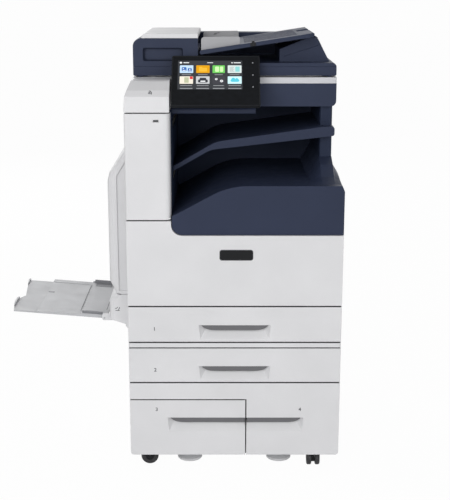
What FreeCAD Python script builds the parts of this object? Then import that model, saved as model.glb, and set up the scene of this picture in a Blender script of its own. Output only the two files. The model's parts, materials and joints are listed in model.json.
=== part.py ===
import FreeCAD, Part
import math
import os
import re
import Sketcher

# A floor-standing A3 colour copier.  Millimetres.  +X is the user's right, +Y goes
# away from the user, +Z is up.  Every piece is drawn from the machine's centre line,
# the front plane of its drawers and the floor; the cells origin_side and origin_back
# then carry the whole machine so that its box stands centred on the origin.

doc = FreeCAD.newDocument("copier")
sheet = doc.addObject("Spreadsheet::Sheet", "sizes")

SIZES = {
    # whole machine
    "body_wide": 545,
    "body_deep": 640,
    "base_gap": 47,
    "seam": 3,
    "corner_r": 6,
    "cover_wall": 3,
    "steel_wall": 1.5,
    "fit_gap": 0.3,
    "pin_play": 0.05,
    # levels, from the floor up
    "tandem_tall": 154,
    "strip_tall": 47,
    "tray_2_tall": 95,
    "rim_tall": 14.5,
    "tray_1_tall": 96.2,
    "door_tall": 186.8,
    "door_left_tall": 223.9,
    "door_pivot_in": 5,
    "tower_tall": 267.8,
    "scanner_tall": 58,
    "rim_plate_tall": 15,
    # drawers
    "front_thick": 22,
    "tandem_split": 29.3,
    "grip_wide": 185,
    "grip_tall": 37,
    "grip_deep": 16,
    "grip_lip": 5,
    "grip_slot": 8,
    "grip_dark": 13,
    "grip_taper": 9,
    "grip_drop": 49.7,
    "grip_ramp": 14,
    "grip_margin": 6,
    "tandem_grip_left": 175,
    "tandem_grip_right": 180,
    "front_edge_r": 2,
    "module_corner_r": 8,
    "bin_side_gap": 22.5,
    "bin_deep": 398,
    "bin_1_headroom": 12.2,
    "bin_2_headroom": 15,
    "tandem_headroom": 1.5,
    "bin_wall": 3,
    "bin_flange": 5,
    "bin_flange_in": 20,
    "bin_1_lift": 12,
    "bin_2_lift": 8,
    "tandem_lift": 7,
    "tandem_bin_gap": 3.5,
    "tandem_rail_wide": 24,
    "runner_wide": 20,
    "runner_thick": 4,
    "module_floor_up": 16,
    "frame_front_gap": 2,
    "sheet_short": 297,
    "guide_tall": 58,
    "guide_long": 200,
    "guide_toe": 40,
    "guide_foot_wide": 60,
    "guide_foot_thick": 3,
    "guide_fence": 4,
    # castors and feet
    "castor_side": 210,
    "castor_front": 62,
    "castor_back": 575,
    "wheel_r": 23,
    "wheel_wide": 12,
    "wheel_gap": 10,
    "trail": 16,
    "stem_r": 7,
    "horn_gap": 4.5,
    "axle_r": 3,
    "foot_r": 33,
    "foot_tall": 12,
    "foot_side": 120,
    "foot_front": 92,
    # tower and output bay
    "tower_wide": 112.9,
    "bay_deep": 430,
    "ridge_left": 46.5,
    "ridge_rise": 124.5,
    "ridge_bend": 143,
    "ridge_r": 190,
    "panel_corner_r": 26,
    "wing_wide": 32,
    "wing_rise": 52,
    "wing_start": 22,
    "wing_end": 138,
    "column_in": 22.5,
    "shoulder_low": 14,
    "shoulder_mid": 18,
    "shoulder_top": 38,
    "shoulder_in": 7,
    "shoulder_r": 14,
    "upper_tray_front": 100,
    # inner panel, cartridges and exit rollers
    "inner_cover_in": 10.5,
    "door_ear_side": 200,
    "door_pin_r": 2.5,
    "door_rib_pitch": 90,
    "toner_left": 170,
    "toner_pitch": 110,
    "toner_up": 132,
    "toner_r": 34,
    "toner_cap_r": 38,
    "waste_wide": 392,
    "waste_low": 22,
    "waste_high": 84,
    "waste_corner_r": 14,
    "waste_lip": 6,
    "switch_side": 234,
    "switch_up": 50,
    "switch_in": 14,
    "switch_pin_r": 1.5,
    "rollers_front": 96,
    "rollers_back": 344,
    "roller_ear": 6,
    "roller_pitch": 60,
    "roller_wide": 22,
    "roller_r": 10.5,
    "shaft_r": 3,
    # rear inlet and sockets
    "inlet_left": 44.5,
    "inlet_wide": 40,
    "inlet_up": 36,
    "inlet_tall": 30,
    "socket_left": 48.5,
    "socket_wide": 20,
    "socket_up": 211,
    "socket_tall": 18,
    "socket_pitch": 25,
    # side door and bypass
    "side_door_out": 50,
    "side_door_front": 50,
    "side_door_back": 440,
    "side_pin_r": 3,
    "bypass_wide": 312,
    "bypass_front": 89,
    "bypass_long": 178,
    "bypass_reach": 72,
    "bypass_thick": 5,
    "bypass_rise": 4.6,
    "bypass_pin_r": 2.5,
    "bypass_guide_toe": 30,
    # scanner, feeder and panel
    "scanner_wide": 514,
    "scanner_front": 118,
    "scanner_deep": 516,
    "glass_wide": 436,
    "glass_deep": 302,
    "glass_thick": 4,
    "scan_wall": 4,
    "carriage_wide": 46,
    "pad_thick": 3.2,
    "lid_front": 128,
    "lid_tall": 31.5,
    "lid_hinge_side": 170,
    "lid_pin_r": 6,
    "feeder_wide": 164,
    "feeder_deep": 352,
    "feeder_tall": 61.5,
    "feeder_top_tall": 11,
    "feeder_cover_pin_r": 2.5,
    "feed_roller_start": 70,
    "feed_roller_pitch": 80,
    "feed_roller_wide": 26,
    "feed_roller_r": 9.5,
    "hump_wide": 142,
    "hump_tall": 62,
    "rear_housing_deep": 68,
    "doc_tray_long": 288,
    "doc_tray_in": 20,
    "doc_tray_thick": 10,
    "doc_tray_low": 21.5,
    "doc_tray_rise": 44,
    "doc_guide_long": 101,
    "doc_guide_tall": 33,
    "doc_guide_toe": 36,
    "doc_guide_middle": 165.5,
    "doc_pin_r": 3,
    "panel_wide": 219,
    "panel_slant": 162,
    "panel_thick": 16,
    "panel_edge": 9,
    "panel_tilt": 43.6,
    "panel_front": -4,
    "panel_up": 15.6,
    "panel_pivot_up": 61,
    "panel_pivot_in": 29,
    "panel_pin_r": 4,
    "panel_glass_thick": 2,
    # placement of the machine's own axes in the part's frame
    "origin_side": 0,
    "origin_back": 0,
}

for row, (alias, number) in enumerate(SIZES.items(), start=1):
    sheet.set(f"A{row}", alias)
    sheet.set(f"B{row}", str(number))
    sheet.setAlias(f"B{row}", alias)
doc.recompute()

# ---------------------------------------------------------------- shared levels
LEFT = "(-body_wide / 2)"
RIGHT = "(body_wide / 2)"
BACK = "body_deep"
BASE = "base_gap"
TANDEM_TOP = "(base_gap + tandem_tall)"
TRAY_2_LOW = f"({TANDEM_TOP} + strip_tall)"
MODULE_TOP = f"({TRAY_2_LOW} + tray_2_tall)"
TRAY_1_LOW = f"({MODULE_TOP} + rim_tall)"
DOOR_LOW = f"({TRAY_1_LOW} + tray_1_tall)"
EXIT_LOW = f"({DOOR_LOW} + door_tall)"
TOWER_LOW = f"({DOOR_LOW} + door_left_tall)"
TOWER_TOP = f"({TOWER_LOW} + tower_tall)"
SCAN_LOW = f"({TOWER_TOP} + seam)"
RIM_LOW = f"({SCAN_LOW} + scanner_tall)"
LID_LOW = f"({RIM_LOW} + rim_plate_tall)"
TOWER_RIGHT = f"({LEFT} + tower_wide)"

WORD = re.compile(r"\b[a-z][a-z0-9_]*\b(?!\()")
AXES = {"XY": "XY_Plane", "XZ": "XZ_Plane", "YZ": "YZ_Plane"}
pieces = []


def bound(text):
    """The expression that reads the named cells of the sheet."""
    return WORD.sub(lambda found: "sizes." + found.group(0), str(text))


def size(text):
    """The present value of an expression in the sheet's names."""
    return float(sheet.evalExpression(str(text)))


def place(piece, label):
    """Give a finished piece its label and its place in the part's frame."""
    piece.Label = label
    piece.setExpression("Placement.Base.x", "sizes.origin_side")
    piece.setExpression("Placement.Base.y", "sizes.origin_back")
    pieces.append(piece)
    return piece


def new_body(label):
    return place(doc.addObject("PartDesign::Body", label), label)


def rounded(points):
    """An outline whose corners (u, v, radius) become tangent arcs.

    A plain corner is (u, v).  The result lists (u, v) for a straight run and
    (mid_u, mid_v, u, v) for an arc through its middle to its end.
    """
    at = [(size(point[0]), size(point[1])) for point in points]
    outline = []
    for index, point in enumerate(points):
        if len(point) == 2:
            outline.append(point)
            continue
        here = FreeCAD.Vector(*at[index], 0)
        to_last = (FreeCAD.Vector(*at[index - 1], 0) - here).normalize()
        to_next = (FreeCAD.Vector(*at[(index + 1) % len(at)], 0) - here).normalize()
        half_turn = to_last.getAngle(to_next) / 2
        reach = 1 / math.tan(half_turn)
        inward = (to_last + to_next).normalize()
        bulge = 1 / math.sin(half_turn) - 1
        start = [shifted(point, to_last, reach, axis) for axis in (0, 1)]
        middle = [shifted(point, inward, bulge, axis) for axis in (0, 1)]
        end = [shifted(point, to_next, reach, axis) for axis in (0, 1)]
        outline.append(tuple(start))
        outline.append(tuple(middle + end))
    return outline


def shifted(point, direction, reach, axis):
    """One coordinate of a corner moved along a direction by a share of its radius."""
    return f"({point[axis]}) + {direction[axis] * reach:.9f} * ({point[2]})"


def oblong(left, right, low, high, radius=None):
    """A rectangle, with rounded corners if a radius is given."""
    corners = [(left, low), (right, low), (right, high), (left, high)]
    if radius is None:
        return corners
    return rounded([(u, v, radius) for u, v in corners])


def sketch(body, plane, level, outlines, circles=()):
    """Closed outlines on an origin plane of the body, set off to a level.

    The level is the world coordinate across the plane: Z for XY, Y for XZ, X for YZ.
    """
    drawing = body.newObject("Sketcher::SketchObject", "outline")
    support = {item.Role: item for item in body.Origin.OriginFeatures}[AXES[plane]]
    drawing.AttachmentSupport = [(support, "")]
    drawing.MapMode = "FlatFace"
    sign = "-" if plane == "XZ" else ""
    drawing.setExpression(".AttachmentOffset.Base.z", f"{sign}({bound(level)})")
    for outline in outlines:
        draw_outline(drawing, outline)
    for u, v, radius in circles:
        centre = FreeCAD.Vector(size(u), size(v), 0)
        ring = Part.Circle(centre, FreeCAD.Vector(0, 0, 1), size(radius))
        index = drawing.addGeometry(ring, False)
        pin_point(drawing, index, 3, u, v)
        rule = Sketcher.Constraint("Radius", index, size(radius))
        drawing.setExpression(f"Constraints[{drawing.addConstraint(rule)}]", bound(radius))
    return drawing


def pin_point(drawing, index, end, u, v):
    """Bind one point of the sketch to the sheet along both of its axes."""
    for kind, text in (("DistanceX", u), ("DistanceY", v)):
        rule = Sketcher.Constraint(kind, -1, 1, index, end, size(text))
        number = drawing.addConstraint(rule)
        drawing.setExpression(f"Constraints[{number}]", bound(text))


def draw_outline(drawing, outline):
    """Draw one closed run of lines and arcs, and pin its points to the sheet."""
    ends = [item[-2:] for item in outline]
    spots = [FreeCAD.Vector(size(u), size(v), 0) for u, v in ends]
    edges = []
    for index, item in enumerate(outline):
        start = spots[index - 1]
        finish = spots[index]
        if len(item) == 2:
            line = Part.LineSegment(start, finish)
            edges.append((drawing.addGeometry(line, False), 1, 2))
            continue
        middle = FreeCAD.Vector(size(item[0]), size(item[1]), 0)
        arc = Part.Arc(start, middle, finish)
        number = drawing.addGeometry(arc, False)
        forward = drawing.getPoint(number, 1).distanceToPoint(start) < 1e-6
        edges.append((number, 1, 2) if forward else (number, 2, 1))
        spot = drawing.addGeometry(Part.Point(middle), True)
        drawing.addConstraint(Sketcher.Constraint("PointOnObject", spot, 1, number))
        pin_point(drawing, spot, 1, item[0], item[1])
    for index, (number, start_end, finish_end) in enumerate(edges):
        following, next_start, _ = edges[(index + 1) % len(edges)]
        meet = Sketcher.Constraint("Coincident", number, finish_end, following, next_start)
        drawing.addConstraint(meet)
        pin_point(drawing, number, finish_end, *ends[index])


def slab(body, plane, low, high, outlines, circles=()):
    """Pad outlines from one level to a higher one."""
    pad = body.newObject("PartDesign::Pad", "slab")
    pad.Profile = sketch(body, plane, low, outlines, circles)
    pad.Reversed = plane == "XZ"
    pad.setExpression("Length", bound(f"({high}) - ({low})"))
    return pad


def cut(body, plane, low, high, outlines, circles=()):
    """Pocket outlines from one level to a higher one."""
    pocket = body.newObject("PartDesign::Pocket", "cut")
    pocket.Profile = sketch(body, plane, low, outlines, circles)
    pocket.Reversed = plane != "XZ"
    pocket.setExpression("Length", bound(f"({high}) - ({low})"))
    return pocket


def loft(body, kind, plane, sections):
    """Run a straight-sided loft through outlines, each (level, outline)."""
    drawings = [sketch(body, plane, level, [outline]) for level, outline in sections]
    feature = body.newObject(f"PartDesign::{kind}", "loft")
    feature.Profile = drawings[0]
    feature.Sections = drawings[1:]
    feature.Ruled = True
    return feature


def revolve(body, kind, plane, level, outline, axis_u, axis_v, upright):
    """Turn an outline a full turn about a line drawn in its own sketch."""
    drawing = sketch(body, plane, level, [outline])
    start = FreeCAD.Vector(size(axis_u), size(axis_v), 0)
    step = FreeCAD.Vector(0, 10, 0) if upright else FreeCAD.Vector(10, 0, 0)
    number = drawing.addGeometry(Part.LineSegment(start, start + step), True)
    pin_point(drawing, number, 1, axis_u, axis_v)
    drawing.addConstraint(Sketcher.Constraint("Vertical" if upright else "Horizontal", number))
    drawing.addConstraint(Sketcher.Constraint("Distance", number, 10))
    feature = body.newObject(f"PartDesign::{kind}", "turned")
    feature.Profile = drawing
    feature.ReferenceAxis = (drawing, ["Axis0"])
    feature.Angle = 360
    return feature


def pattern(body, feature, axis, span, count):
    """Repeat a feature along one of the body's axes, over a whole span."""
    doc.recompute()
    row = body.newObject("PartDesign::LinearPattern", "row")
    row.Originals = [feature]
    line = {item.Role: item for item in body.Origin.OriginFeatures}[f"{axis}_Axis"]
    row.Direction = (line, [""])
    row.setExpression("Length", bound(span))
    row.Occurrences = count
    body.Tip = row
    return row


def ease(body, kind, amount, picks):
    """Fillet or chamfer the edges that lie at the given places.

    Each pick is (axis, {"x": .., "y": .., "z": ..}): an edge along that axis whose
    ends both lie at the stated coordinates.
    """
    doc.recompute()
    base = body.Tip
    names = []
    for number, edge in enumerate(base.Shape.Edges, start=1):
        if any(edge_matches(edge, axis, where) for axis, where in picks):
            names.append(f"Edge{number}")
    feature = body.newObject(f"PartDesign::{kind}", "eased")
    feature.Base = (base, names)
    feature.setExpression("Radius" if kind == "Fillet" else "Size", bound(amount))
    return feature


def edge_matches(edge, axis, where):
    ends = [vertex.Point for vertex in edge.Vertexes]
    if len(ends) != 2:
        return False
    run = ends[1] - ends[0]
    along = abs(getattr(run, axis))
    if along < 0.5 or abs(run.Length - along) > 1e-4:
        return False
    for name, text in where.items():
        if any(abs(getattr(end, name) - size(text)) > 1e-3 for end in ends):
            return False
    return True


def box(x_low, x_high, y_low, y_high, z_low, z_high):
    """A Part box between six bound coordinates."""
    block = doc.addObject("Part::Box", "block")
    for name, low, high in (("Length", x_low, x_high), ("Width", y_low, y_high),
                            ("Height", z_low, z_high)):
        block.setExpression(name, bound(f"({high}) - ({low})"))
    for name, low in (("x", x_low), ("y", y_low), ("z", z_low)):
        block.setExpression(f"Placement.Base.{name}", bound(low))
    return block


ROLL = {"X": FreeCAD.Rotation(FreeCAD.Vector(0, 1, 0), 90),
        "Y": FreeCAD.Rotation(FreeCAD.Vector(1, 0, 0), -90),
        "Z": FreeCAD.Rotation()}


def rod(axis, x, y, z, radius, length):
    """A Part cylinder that starts at a bound point and runs along an axis."""
    bar = doc.addObject("Part::Cylinder", "bar")
    bar.Placement = FreeCAD.Placement(FreeCAD.Vector(), ROLL[axis])
    bar.setExpression("Radius", bound(radius))
    bar.setExpression("Height", bound(length))
    for name, text in (("x", x), ("y", y), ("z", z)):
        bar.setExpression(f"Placement.Base.{name}", bound(text))
    return bar


def join(kind, members):
    """Fuse or group Part objects."""
    group = doc.addObject(f"Part::{kind}", "joined")
    if kind == "Compound":
        group.Links = members
    elif kind == "Cut":
        group.Base = members[0]
        group.Tool = members[1]
    else:
        group.Shapes = members
    return group


# ---------------------------------------------------------------- drawer module
def frame_plates(label, plates, extra=()):
    """A welded sheet-metal frame, drawn as its flat plates and its bosses."""
    return place(join("Compound", [box(*plate) for plate in plates] + list(extra)), label)


FRAME_SIDE = f"({RIGHT} - cover_wall - fit_gap)"
FRAME_FRONT = "(front_thick + frame_front_gap)"
FRAME_BACK = "(body_deep - cover_wall - fit_gap)"
FLOOR = "(base_gap + module_floor_up)"
BIN_SIDE = "(body_wide / 2 - bin_side_gap)"
BIN_BACK = "front_thick + bin_deep"
TANDEM_LEDGE = f"({FLOOR} + steel_wall + tandem_lift)"
TRAY_2_LEDGE = f"({TRAY_2_LOW} + bin_2_lift)"
TRAY_1_LEDGE = f"({TRAY_1_LOW} + bin_1_lift)"


def runner(side, low, x_edge, deep, front=f"{FRAME_FRONT} + 8"):
    """The ledge that one side of a drawer slides on."""
    edge_left = f"{x_edge} - runner_wide" if side > 0 else x_edge
    edge_right = x_edge if side > 0 else f"{x_edge} + runner_wide"
    return (edge_left, edge_right, front, deep, f"{low} - runner_thick", low)


def castor_places():
    for side_name, side in (("left", "-castor_side"), ("right", "castor_side")):
        for end_name, end in (("front", "castor_front"), ("rear", "castor_back")):
            yield f"{end_name}_{side_name}", side, end


def stem_socket(side, end):
    """The boss under the base plate that holds a castor's stem."""
    blank = rod("Z", side, end, "2 * wheel_r + 5", "stem_r + 7", f"{FLOOR} - 2 * wheel_r - 5")
    hole = rod("Z", side, end, "2 * wheel_r", "stem_r + pin_play", "2 * wheel_r")
    return join("Cut", [blank, hole])


def drawer_module():
    sockets = [stem_socket(side, end) for _, side, end in castor_places()]
    left = f"(-{FRAME_SIDE})"
    split = "tandem_split"
    frame_plates("module_frame", [
        (left, FRAME_SIDE, FRAME_FRONT, FRAME_BACK, FLOOR, f"{FLOOR} + steel_wall"),
        (left, f"{left} + steel_wall", FRAME_FRONT, FRAME_BACK, f"{FLOOR} + steel_wall",
         f"{MODULE_TOP} - steel_wall"),
        (f"{FRAME_SIDE} - steel_wall", FRAME_SIDE, FRAME_FRONT, FRAME_BACK,
         f"{FLOOR} + steel_wall", f"{MODULE_TOP} - steel_wall"),
        (f"{left} + steel_wall", f"{FRAME_SIDE} - steel_wall", f"{FRAME_BACK} - steel_wall",
         FRAME_BACK, f"{FLOOR} + steel_wall", f"{MODULE_TOP} - steel_wall"),
        (left, FRAME_SIDE, FRAME_FRONT, FRAME_BACK, f"{MODULE_TOP} - steel_wall", MODULE_TOP),
        (f"{left} + steel_wall", f"{FRAME_SIDE} - steel_wall", FRAME_FRONT,
         f"{FRAME_BACK} - steel_wall", f"{TRAY_2_LOW} - steel_wall", TRAY_2_LOW),
        (f"{split} - tandem_rail_wide / 2", f"{split} + tandem_rail_wide / 2",
         f"{FRAME_FRONT} + 8", BIN_BACK, f"{FLOOR} + steel_wall", TANDEM_LEDGE),
        runner(-1, TANDEM_LEDGE, f"{left} + steel_wall", BIN_BACK),
        runner(1, TANDEM_LEDGE, f"{FRAME_SIDE} - steel_wall", BIN_BACK),
        runner(-1, TRAY_2_LEDGE, f"{left} + steel_wall", BIN_BACK),
        runner(1, TRAY_2_LEDGE, f"{FRAME_SIDE} - steel_wall", BIN_BACK),
    ], sockets)
    module_covers()
    levelling_feet()


def side_profile(sign, top):
    """Section of a side cover: a wall with a flange turned in under the machine."""
    wall = f"{sign} * {RIGHT}"
    inner = f"{sign} * ({RIGHT} - cover_wall)"
    edge = f"{sign} * ({RIGHT} - 18)"
    return rounded([(wall, top), (wall, BASE, "module_corner_r"), (edge, BASE),
                    (edge, f"{BASE} + cover_wall"), (inner, f"{BASE} + cover_wall", 5), (inner, top)])


def module_covers():
    """The side covers of the drawer module, and its rear cover with cooling slots."""
    covers = []
    for sign in (-1, 1):
        body = doc.addObject("PartDesign::Body", "side_cover")
        top = f"{MODULE_TOP} - seam / 2"
        slab(body, "XZ", "front_thick + 1", f"{BACK} - cover_wall", [side_profile(sign, top)])
        wall_low = f"{RIGHT} - cover_wall - 1" if sign > 0 else f"{LEFT} - 1"
        rib = cut(body, "YZ", wall_low, f"({wall_low}) + cover_wall + 2",
                  [oblong(f"{BACK} - 150", f"{BACK} - 60", "base_gap + 60", "base_gap + 65")])
        pattern(body, rib, "Z", "84", 8)
        covers.append(body)
    body = doc.addObject("PartDesign::Body", "rear_cover")
    low, high = BASE, f"({MODULE_TOP} - seam / 2)"
    slab(body, "XZ", f"{BACK} - cover_wall", BACK, [oblong(LEFT, RIGHT, low, high, "module_corner_r")])
    slit = cut(body, "XZ", f"{BACK} - cover_wall - 1", f"{BACK} + 1",
               [oblong("-180", "-60", f"{high} - 96", f"{high} - 92")])
    pattern(body, slit, "Z", "50", 6)
    covers.append(body)
    place(join("Compound", covers), "module_covers")


def levelling_feet():
    """Two screwed feet under the front edge: a pad with a stem into the base plate."""
    feet = []
    for sign in (-1, 1):
        body = doc.addObject("PartDesign::Body", "foot")
        side = f"{sign} * foot_side"
        pad_edge = f"{side} + foot_r"
        profile = [(side, "0"), (f"{pad_edge} - 2", "0"), (pad_edge, "2"),
                   (pad_edge, "foot_tall - 5"), (f"{side} + 14", "foot_tall"),
                   (f"{side} + 5", "foot_tall"),
                   (f"{side} + 5", FLOOR), (side, FLOOR)]
        revolve(body, "Revolution", "XZ", "foot_front", profile, side, "0", True)
        feet.append(body)
    place(join("Compound", feet), "levelling_feet")


# ---------------------------------------------------------------- castors
HORN_TOP = "(2 * wheel_r + horn_gap)"
REST_TRAIL = {"front_left": ("X", -1), "front_right": ("Y", -1),
              "rear_left": ("Y", 1), "rear_right": ("X", 1)}


def castor(name, side, end):
    """A twin-wheel swivel castor: horn with its stem, and a pair of wheels on an axle.

    The horn is drawn for a trail along X or Y, whichever way it stands at rest.
    """
    run, sign = REST_TRAIL[name]
    if run == "X":
        axle_x, axle_y, across = f"{side} + {sign} * trail", end, "XZ"
        flat, mid, level = axle_x, side, axle_y
    else:
        axle_x, axle_y, across = side, f"{end} + {sign} * trail", "YZ"
        flat, mid, level = axle_y, end, axle_x
    half = "(wheel_gap / 2 - 1)"
    horn = new_body(f"castor_horn_{name}")
    back = f"{mid} - {sign} * 12"
    web = rounded([(back, HORN_TOP), (back, "wheel_r + 4", 4),
                   (f"{flat} - {sign} * 7", "wheel_r / 3", 6),
                   (f"{flat} + {sign} * 8", "wheel_r / 3", 7),
                   (f"{flat} + {sign} * 8", HORN_TOP, 6)])
    slab(horn, across, f"{level} - {half}", f"{level} + {half}", [web],
         [(flat, "wheel_r", "axle_r + pin_play")])
    slab(horn, "XY", "2 * wheel_r + 2", HORN_TOP, [], [(side, end, "stem_r + 6")])
    slab(horn, "XY", HORN_TOP, f"{FLOOR} - 1", [], [(side, end, "stem_r")])
    wheels = new_body(f"castor_wheels_{name}")
    outer = "(wheel_gap / 2 + wheel_wide)"
    inner = "(wheel_gap / 2)"
    rim = [(f"{level} - {outer}", "wheel_r"), (f"{level} - {outer}", "2.5"),
           (f"{level} - {outer} + 2.5", "0"), (f"{level} - {inner}", "0"),
           (f"{level} - {inner}", "wheel_r - axle_r"),
           (f"{level} + {inner}", "wheel_r - axle_r"), (f"{level} + {inner}", "0"),
           (f"{level} + {outer} - 2.5", "0"),
           (f"{level} + {outer}", "2.5"), (f"{level} + {outer}", "wheel_r")]
    plane, place_level = ("YZ", axle_x) if run == "X" else ("XZ", axle_y)
    revolve(wheels, "Revolution", plane, place_level, rim, f"{level} - {outer}", "wheel_r",
            False)


def castors():
    for name, side, end in castor_places():
        castor(name, side, end)


# ---------------------------------------------------------------- drawers
def grip(body, left, right, top, low, open_left=False, open_right=False):
    """The scooped finger grip of a drawer front: a ramp, and a slot behind its lip."""
    taper_left = "0" if open_left else "grip_taper"
    taper_right = "0" if open_right else "grip_taper"
    mouth = [(f"{left} + {taper_left} / 2", low), (f"{right} - {taper_right} / 2", low),
             (right, top), (left, top)]
    floor = [(f"{left} + 2 * {taper_left}", f"{top} - grip_ramp"),
             (f"{right} - 2 * {taper_right}", f"{top} - grip_ramp"),
             (f"{right} - 1.2 * {taper_right}", top), (f"{left} + 1.2 * {taper_left}", top)]
    loft(body, "SubtractiveLoft", "XZ", [("-0.01", mouth), ("grip_deep", floor)])
    cut(body, "XZ", "grip_lip", "grip_deep",
        [oblong(f"{left} + 1.2 * {taper_left}", f"{right} - 1.2 * {taper_right}",
                f"{top} - 0.01", f"{top} + grip_slot")])
    start = f"({left} + 1.6 * {taper_left})"
    end = f"({right} - 1.6 * {taper_right})"
    slot_low, slot_mid, slot_top = f"{top} - grip_dark", f"{top} - 3", f"{top} + grip_slot - 1"
    near = [(start, slot_low)] if open_left else [
        (start, slot_mid, 3), (f"{left} + 5 * grip_taper", slot_low, 12)]
    far = [(end, slot_low)] if open_right else [
        (f"{right} - 5 * grip_taper", slot_low, 12), (end, slot_mid, 3)]
    cut(body, "XZ", "grip_deep - 1", "front_thick + 0.01", [rounded(
        [(start, slot_top)] + near + far + [(end, slot_top)])])


def relief(body, left, right, low, high):
    """A moulded-out pocket in the back of a front, with a rib across its middle."""
    middle = f"(({left}) + ({right})) / 2"
    cut(body, "XZ", "cover_wall", "front_thick + 0.01",
        [oblong(left, f"{middle} - 1.5", low, high), oblong(f"{middle} + 1.5", right, low, high)])


def paper_front(label, low, high):
    """A full-width drawer front with a grip in its middle."""
    body = new_body(label)
    bottom = f"{low} + seam / 2"
    top = f"{high} - seam / 2"
    slab(body, "XZ", "0", "front_thick", [oblong(LEFT, RIGHT, bottom, top)])
    ease(body, "Fillet", "front_edge_r", [
        ("x", {"y": "0", "z": bottom}), ("x", {"y": "0", "z": top}),
        ("z", {"y": "0", "x": LEFT}), ("z", {"y": "0", "x": RIGHT})])
    grip_top = f"{high} - grip_drop"
    grip(body, "-grip_wide / 2", "grip_wide / 2", grip_top, f"{grip_top} - grip_tall")
    rib_low, rib_high = f"{bottom} + 4", f"{top} - 4"
    relief(body, f"{LEFT} + 4", "-grip_wide / 2 - grip_margin", rib_low, rib_high)
    relief(body, "grip_wide / 2 + grip_margin", f"{RIGHT} - 4", rib_low, rib_high)
    return body


def tandem_fronts():
    """The two lowest fronts; the right one carries the strip above the left one."""
    bottom = BASE
    left_top = f"{TANDEM_TOP} - seam / 2"
    right_top = f"{TRAY_2_LOW} - seam / 2"
    split_left = "(tandem_split - seam / 2)"
    split_right = "(tandem_split + seam / 2)"
    grip_top = f"{TANDEM_TOP} - grip_drop"
    body = new_body("tray_3_front")
    slab(body, "XZ", "0", "front_thick", [rounded([
        (LEFT, bottom, "module_corner_r"), (split_left, bottom), (split_left, left_top),
        (LEFT, left_top)])])
    grip(body, "-tandem_grip_left", split_left, grip_top, f"{grip_top} - grip_tall", open_right=True)
    relief(body, f"{LEFT} + 10", "-tandem_grip_left - grip_margin", f"{bottom} + 10", f"{left_top} - 4")
    body = new_body("tray_4_front")
    slab(body, "XZ", "0", "front_thick", [rounded([
        (split_right, bottom), (RIGHT, bottom, "module_corner_r"), (RIGHT, right_top),
        (LEFT, right_top), (LEFT, f"{TANDEM_TOP} + seam / 2"),
        (split_right, f"{TANDEM_TOP} + seam / 2")])])
    grip(body, split_right, "tandem_grip_right", grip_top, f"{grip_top} - grip_tall",
         open_left=True)
    relief(body, "tandem_grip_right + grip_margin", f"{RIGHT} - 10", f"{bottom} + 10",
           f"{TANDEM_TOP} - 4")


def bin_shell(label, left, right, low, tall, feet=True):
    """An open-topped drawer bin with a stiffening rim and side flanges."""
    body = new_body(label)
    front, back = "front_thick", BIN_BACK
    slab(body, "XY", low, f"{low} + {tall}", [oblong(left, right, front, back)])
    ease(body, "Fillet", "4", [("z", {"y": back, "x": left}), ("z", {"y": back, "x": right})])
    cut(body, "XY", f"{low} + bin_wall", f"{low} + {tall} + 1", [oblong(
        f"{left} + bin_wall", f"{right} - bin_wall", f"{front} + bin_wall",
        f"{back} - bin_wall", 3)])
    if feet:
        slab(body, "XY", f"{low} + {tall} - bin_wall", f"{low} + {tall}", [
            oblong(start, end, f"{front} + bin_flange_in", f"{back} - bin_flange_in")
            for start, end in ((f"{left} - bin_flange", left), (right, f"{right} + bin_flange"))])
    return body


BIN_MIDDLE = "(front_thick + bin_deep / 2)"


def side_guides(tray, low):
    """The pair of paper guides of one drawer: each a fence on a sliding foot."""
    half = "sheet_short / 2"
    for name, sign in (("front", -1), ("rear", 1)):
        body = new_body(f"{tray}_guide_{name}")
        face = f"{BIN_MIDDLE} + {sign} * {half}"
        back = f"{face} + {sign} * guide_fence"
        toe = f"{face} - {sign} * guide_toe"
        floor = f"{low} + bin_wall"
        near, far = (back, toe) if sign < 0 else (toe, back)
        slab(body, "XY", floor, f"{floor} + guide_foot_thick", [
            oblong("-guide_foot_wide / 2", "guide_foot_wide / 2", near, far, 5)])
        fence = [("-guide_long / 2", f"{floor}"), ("guide_long / 2", f"{floor}"),
                 ("guide_long / 2", f"{floor} + guide_tall", 12),
                 ("-guide_long / 2", f"{floor} + guide_tall", 12)]
        low_y, high_y = (back, face) if sign < 0 else (face, back)
        slab(body, "XZ", low_y, high_y, [rounded(fence)])


def drawers():
    """Four drawers: two full-width ones and the tandem pair below them."""
    for tray, low, high, ledge, headroom in (
            ("tray_1", TRAY_1_LOW, DOOR_LOW, TRAY_1_LEDGE, "bin_1_headroom"),
            ("tray_2", TRAY_2_LOW, MODULE_TOP, TRAY_2_LEDGE, "bin_2_headroom")):
        paper_front(f"{tray}_front", low, high)
        bin_shell(f"{tray}_bin", f"-{BIN_SIDE}", BIN_SIDE, ledge,
                  f"({high} - {ledge} - {headroom})")
        side_guides(tray, ledge)
    tandem_fronts()
    tall = f"({TANDEM_TOP} - {TANDEM_LEDGE} - tandem_headroom)"
    bin_shell("tray_3_bin", f"-{BIN_SIDE}", "tandem_split - tandem_bin_gap", TANDEM_LEDGE,
              tall, False)
    bin_shell("tray_4_bin", "tandem_split + tandem_bin_gap", BIN_SIDE, TANDEM_LEDGE,
              tall, False)


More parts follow.
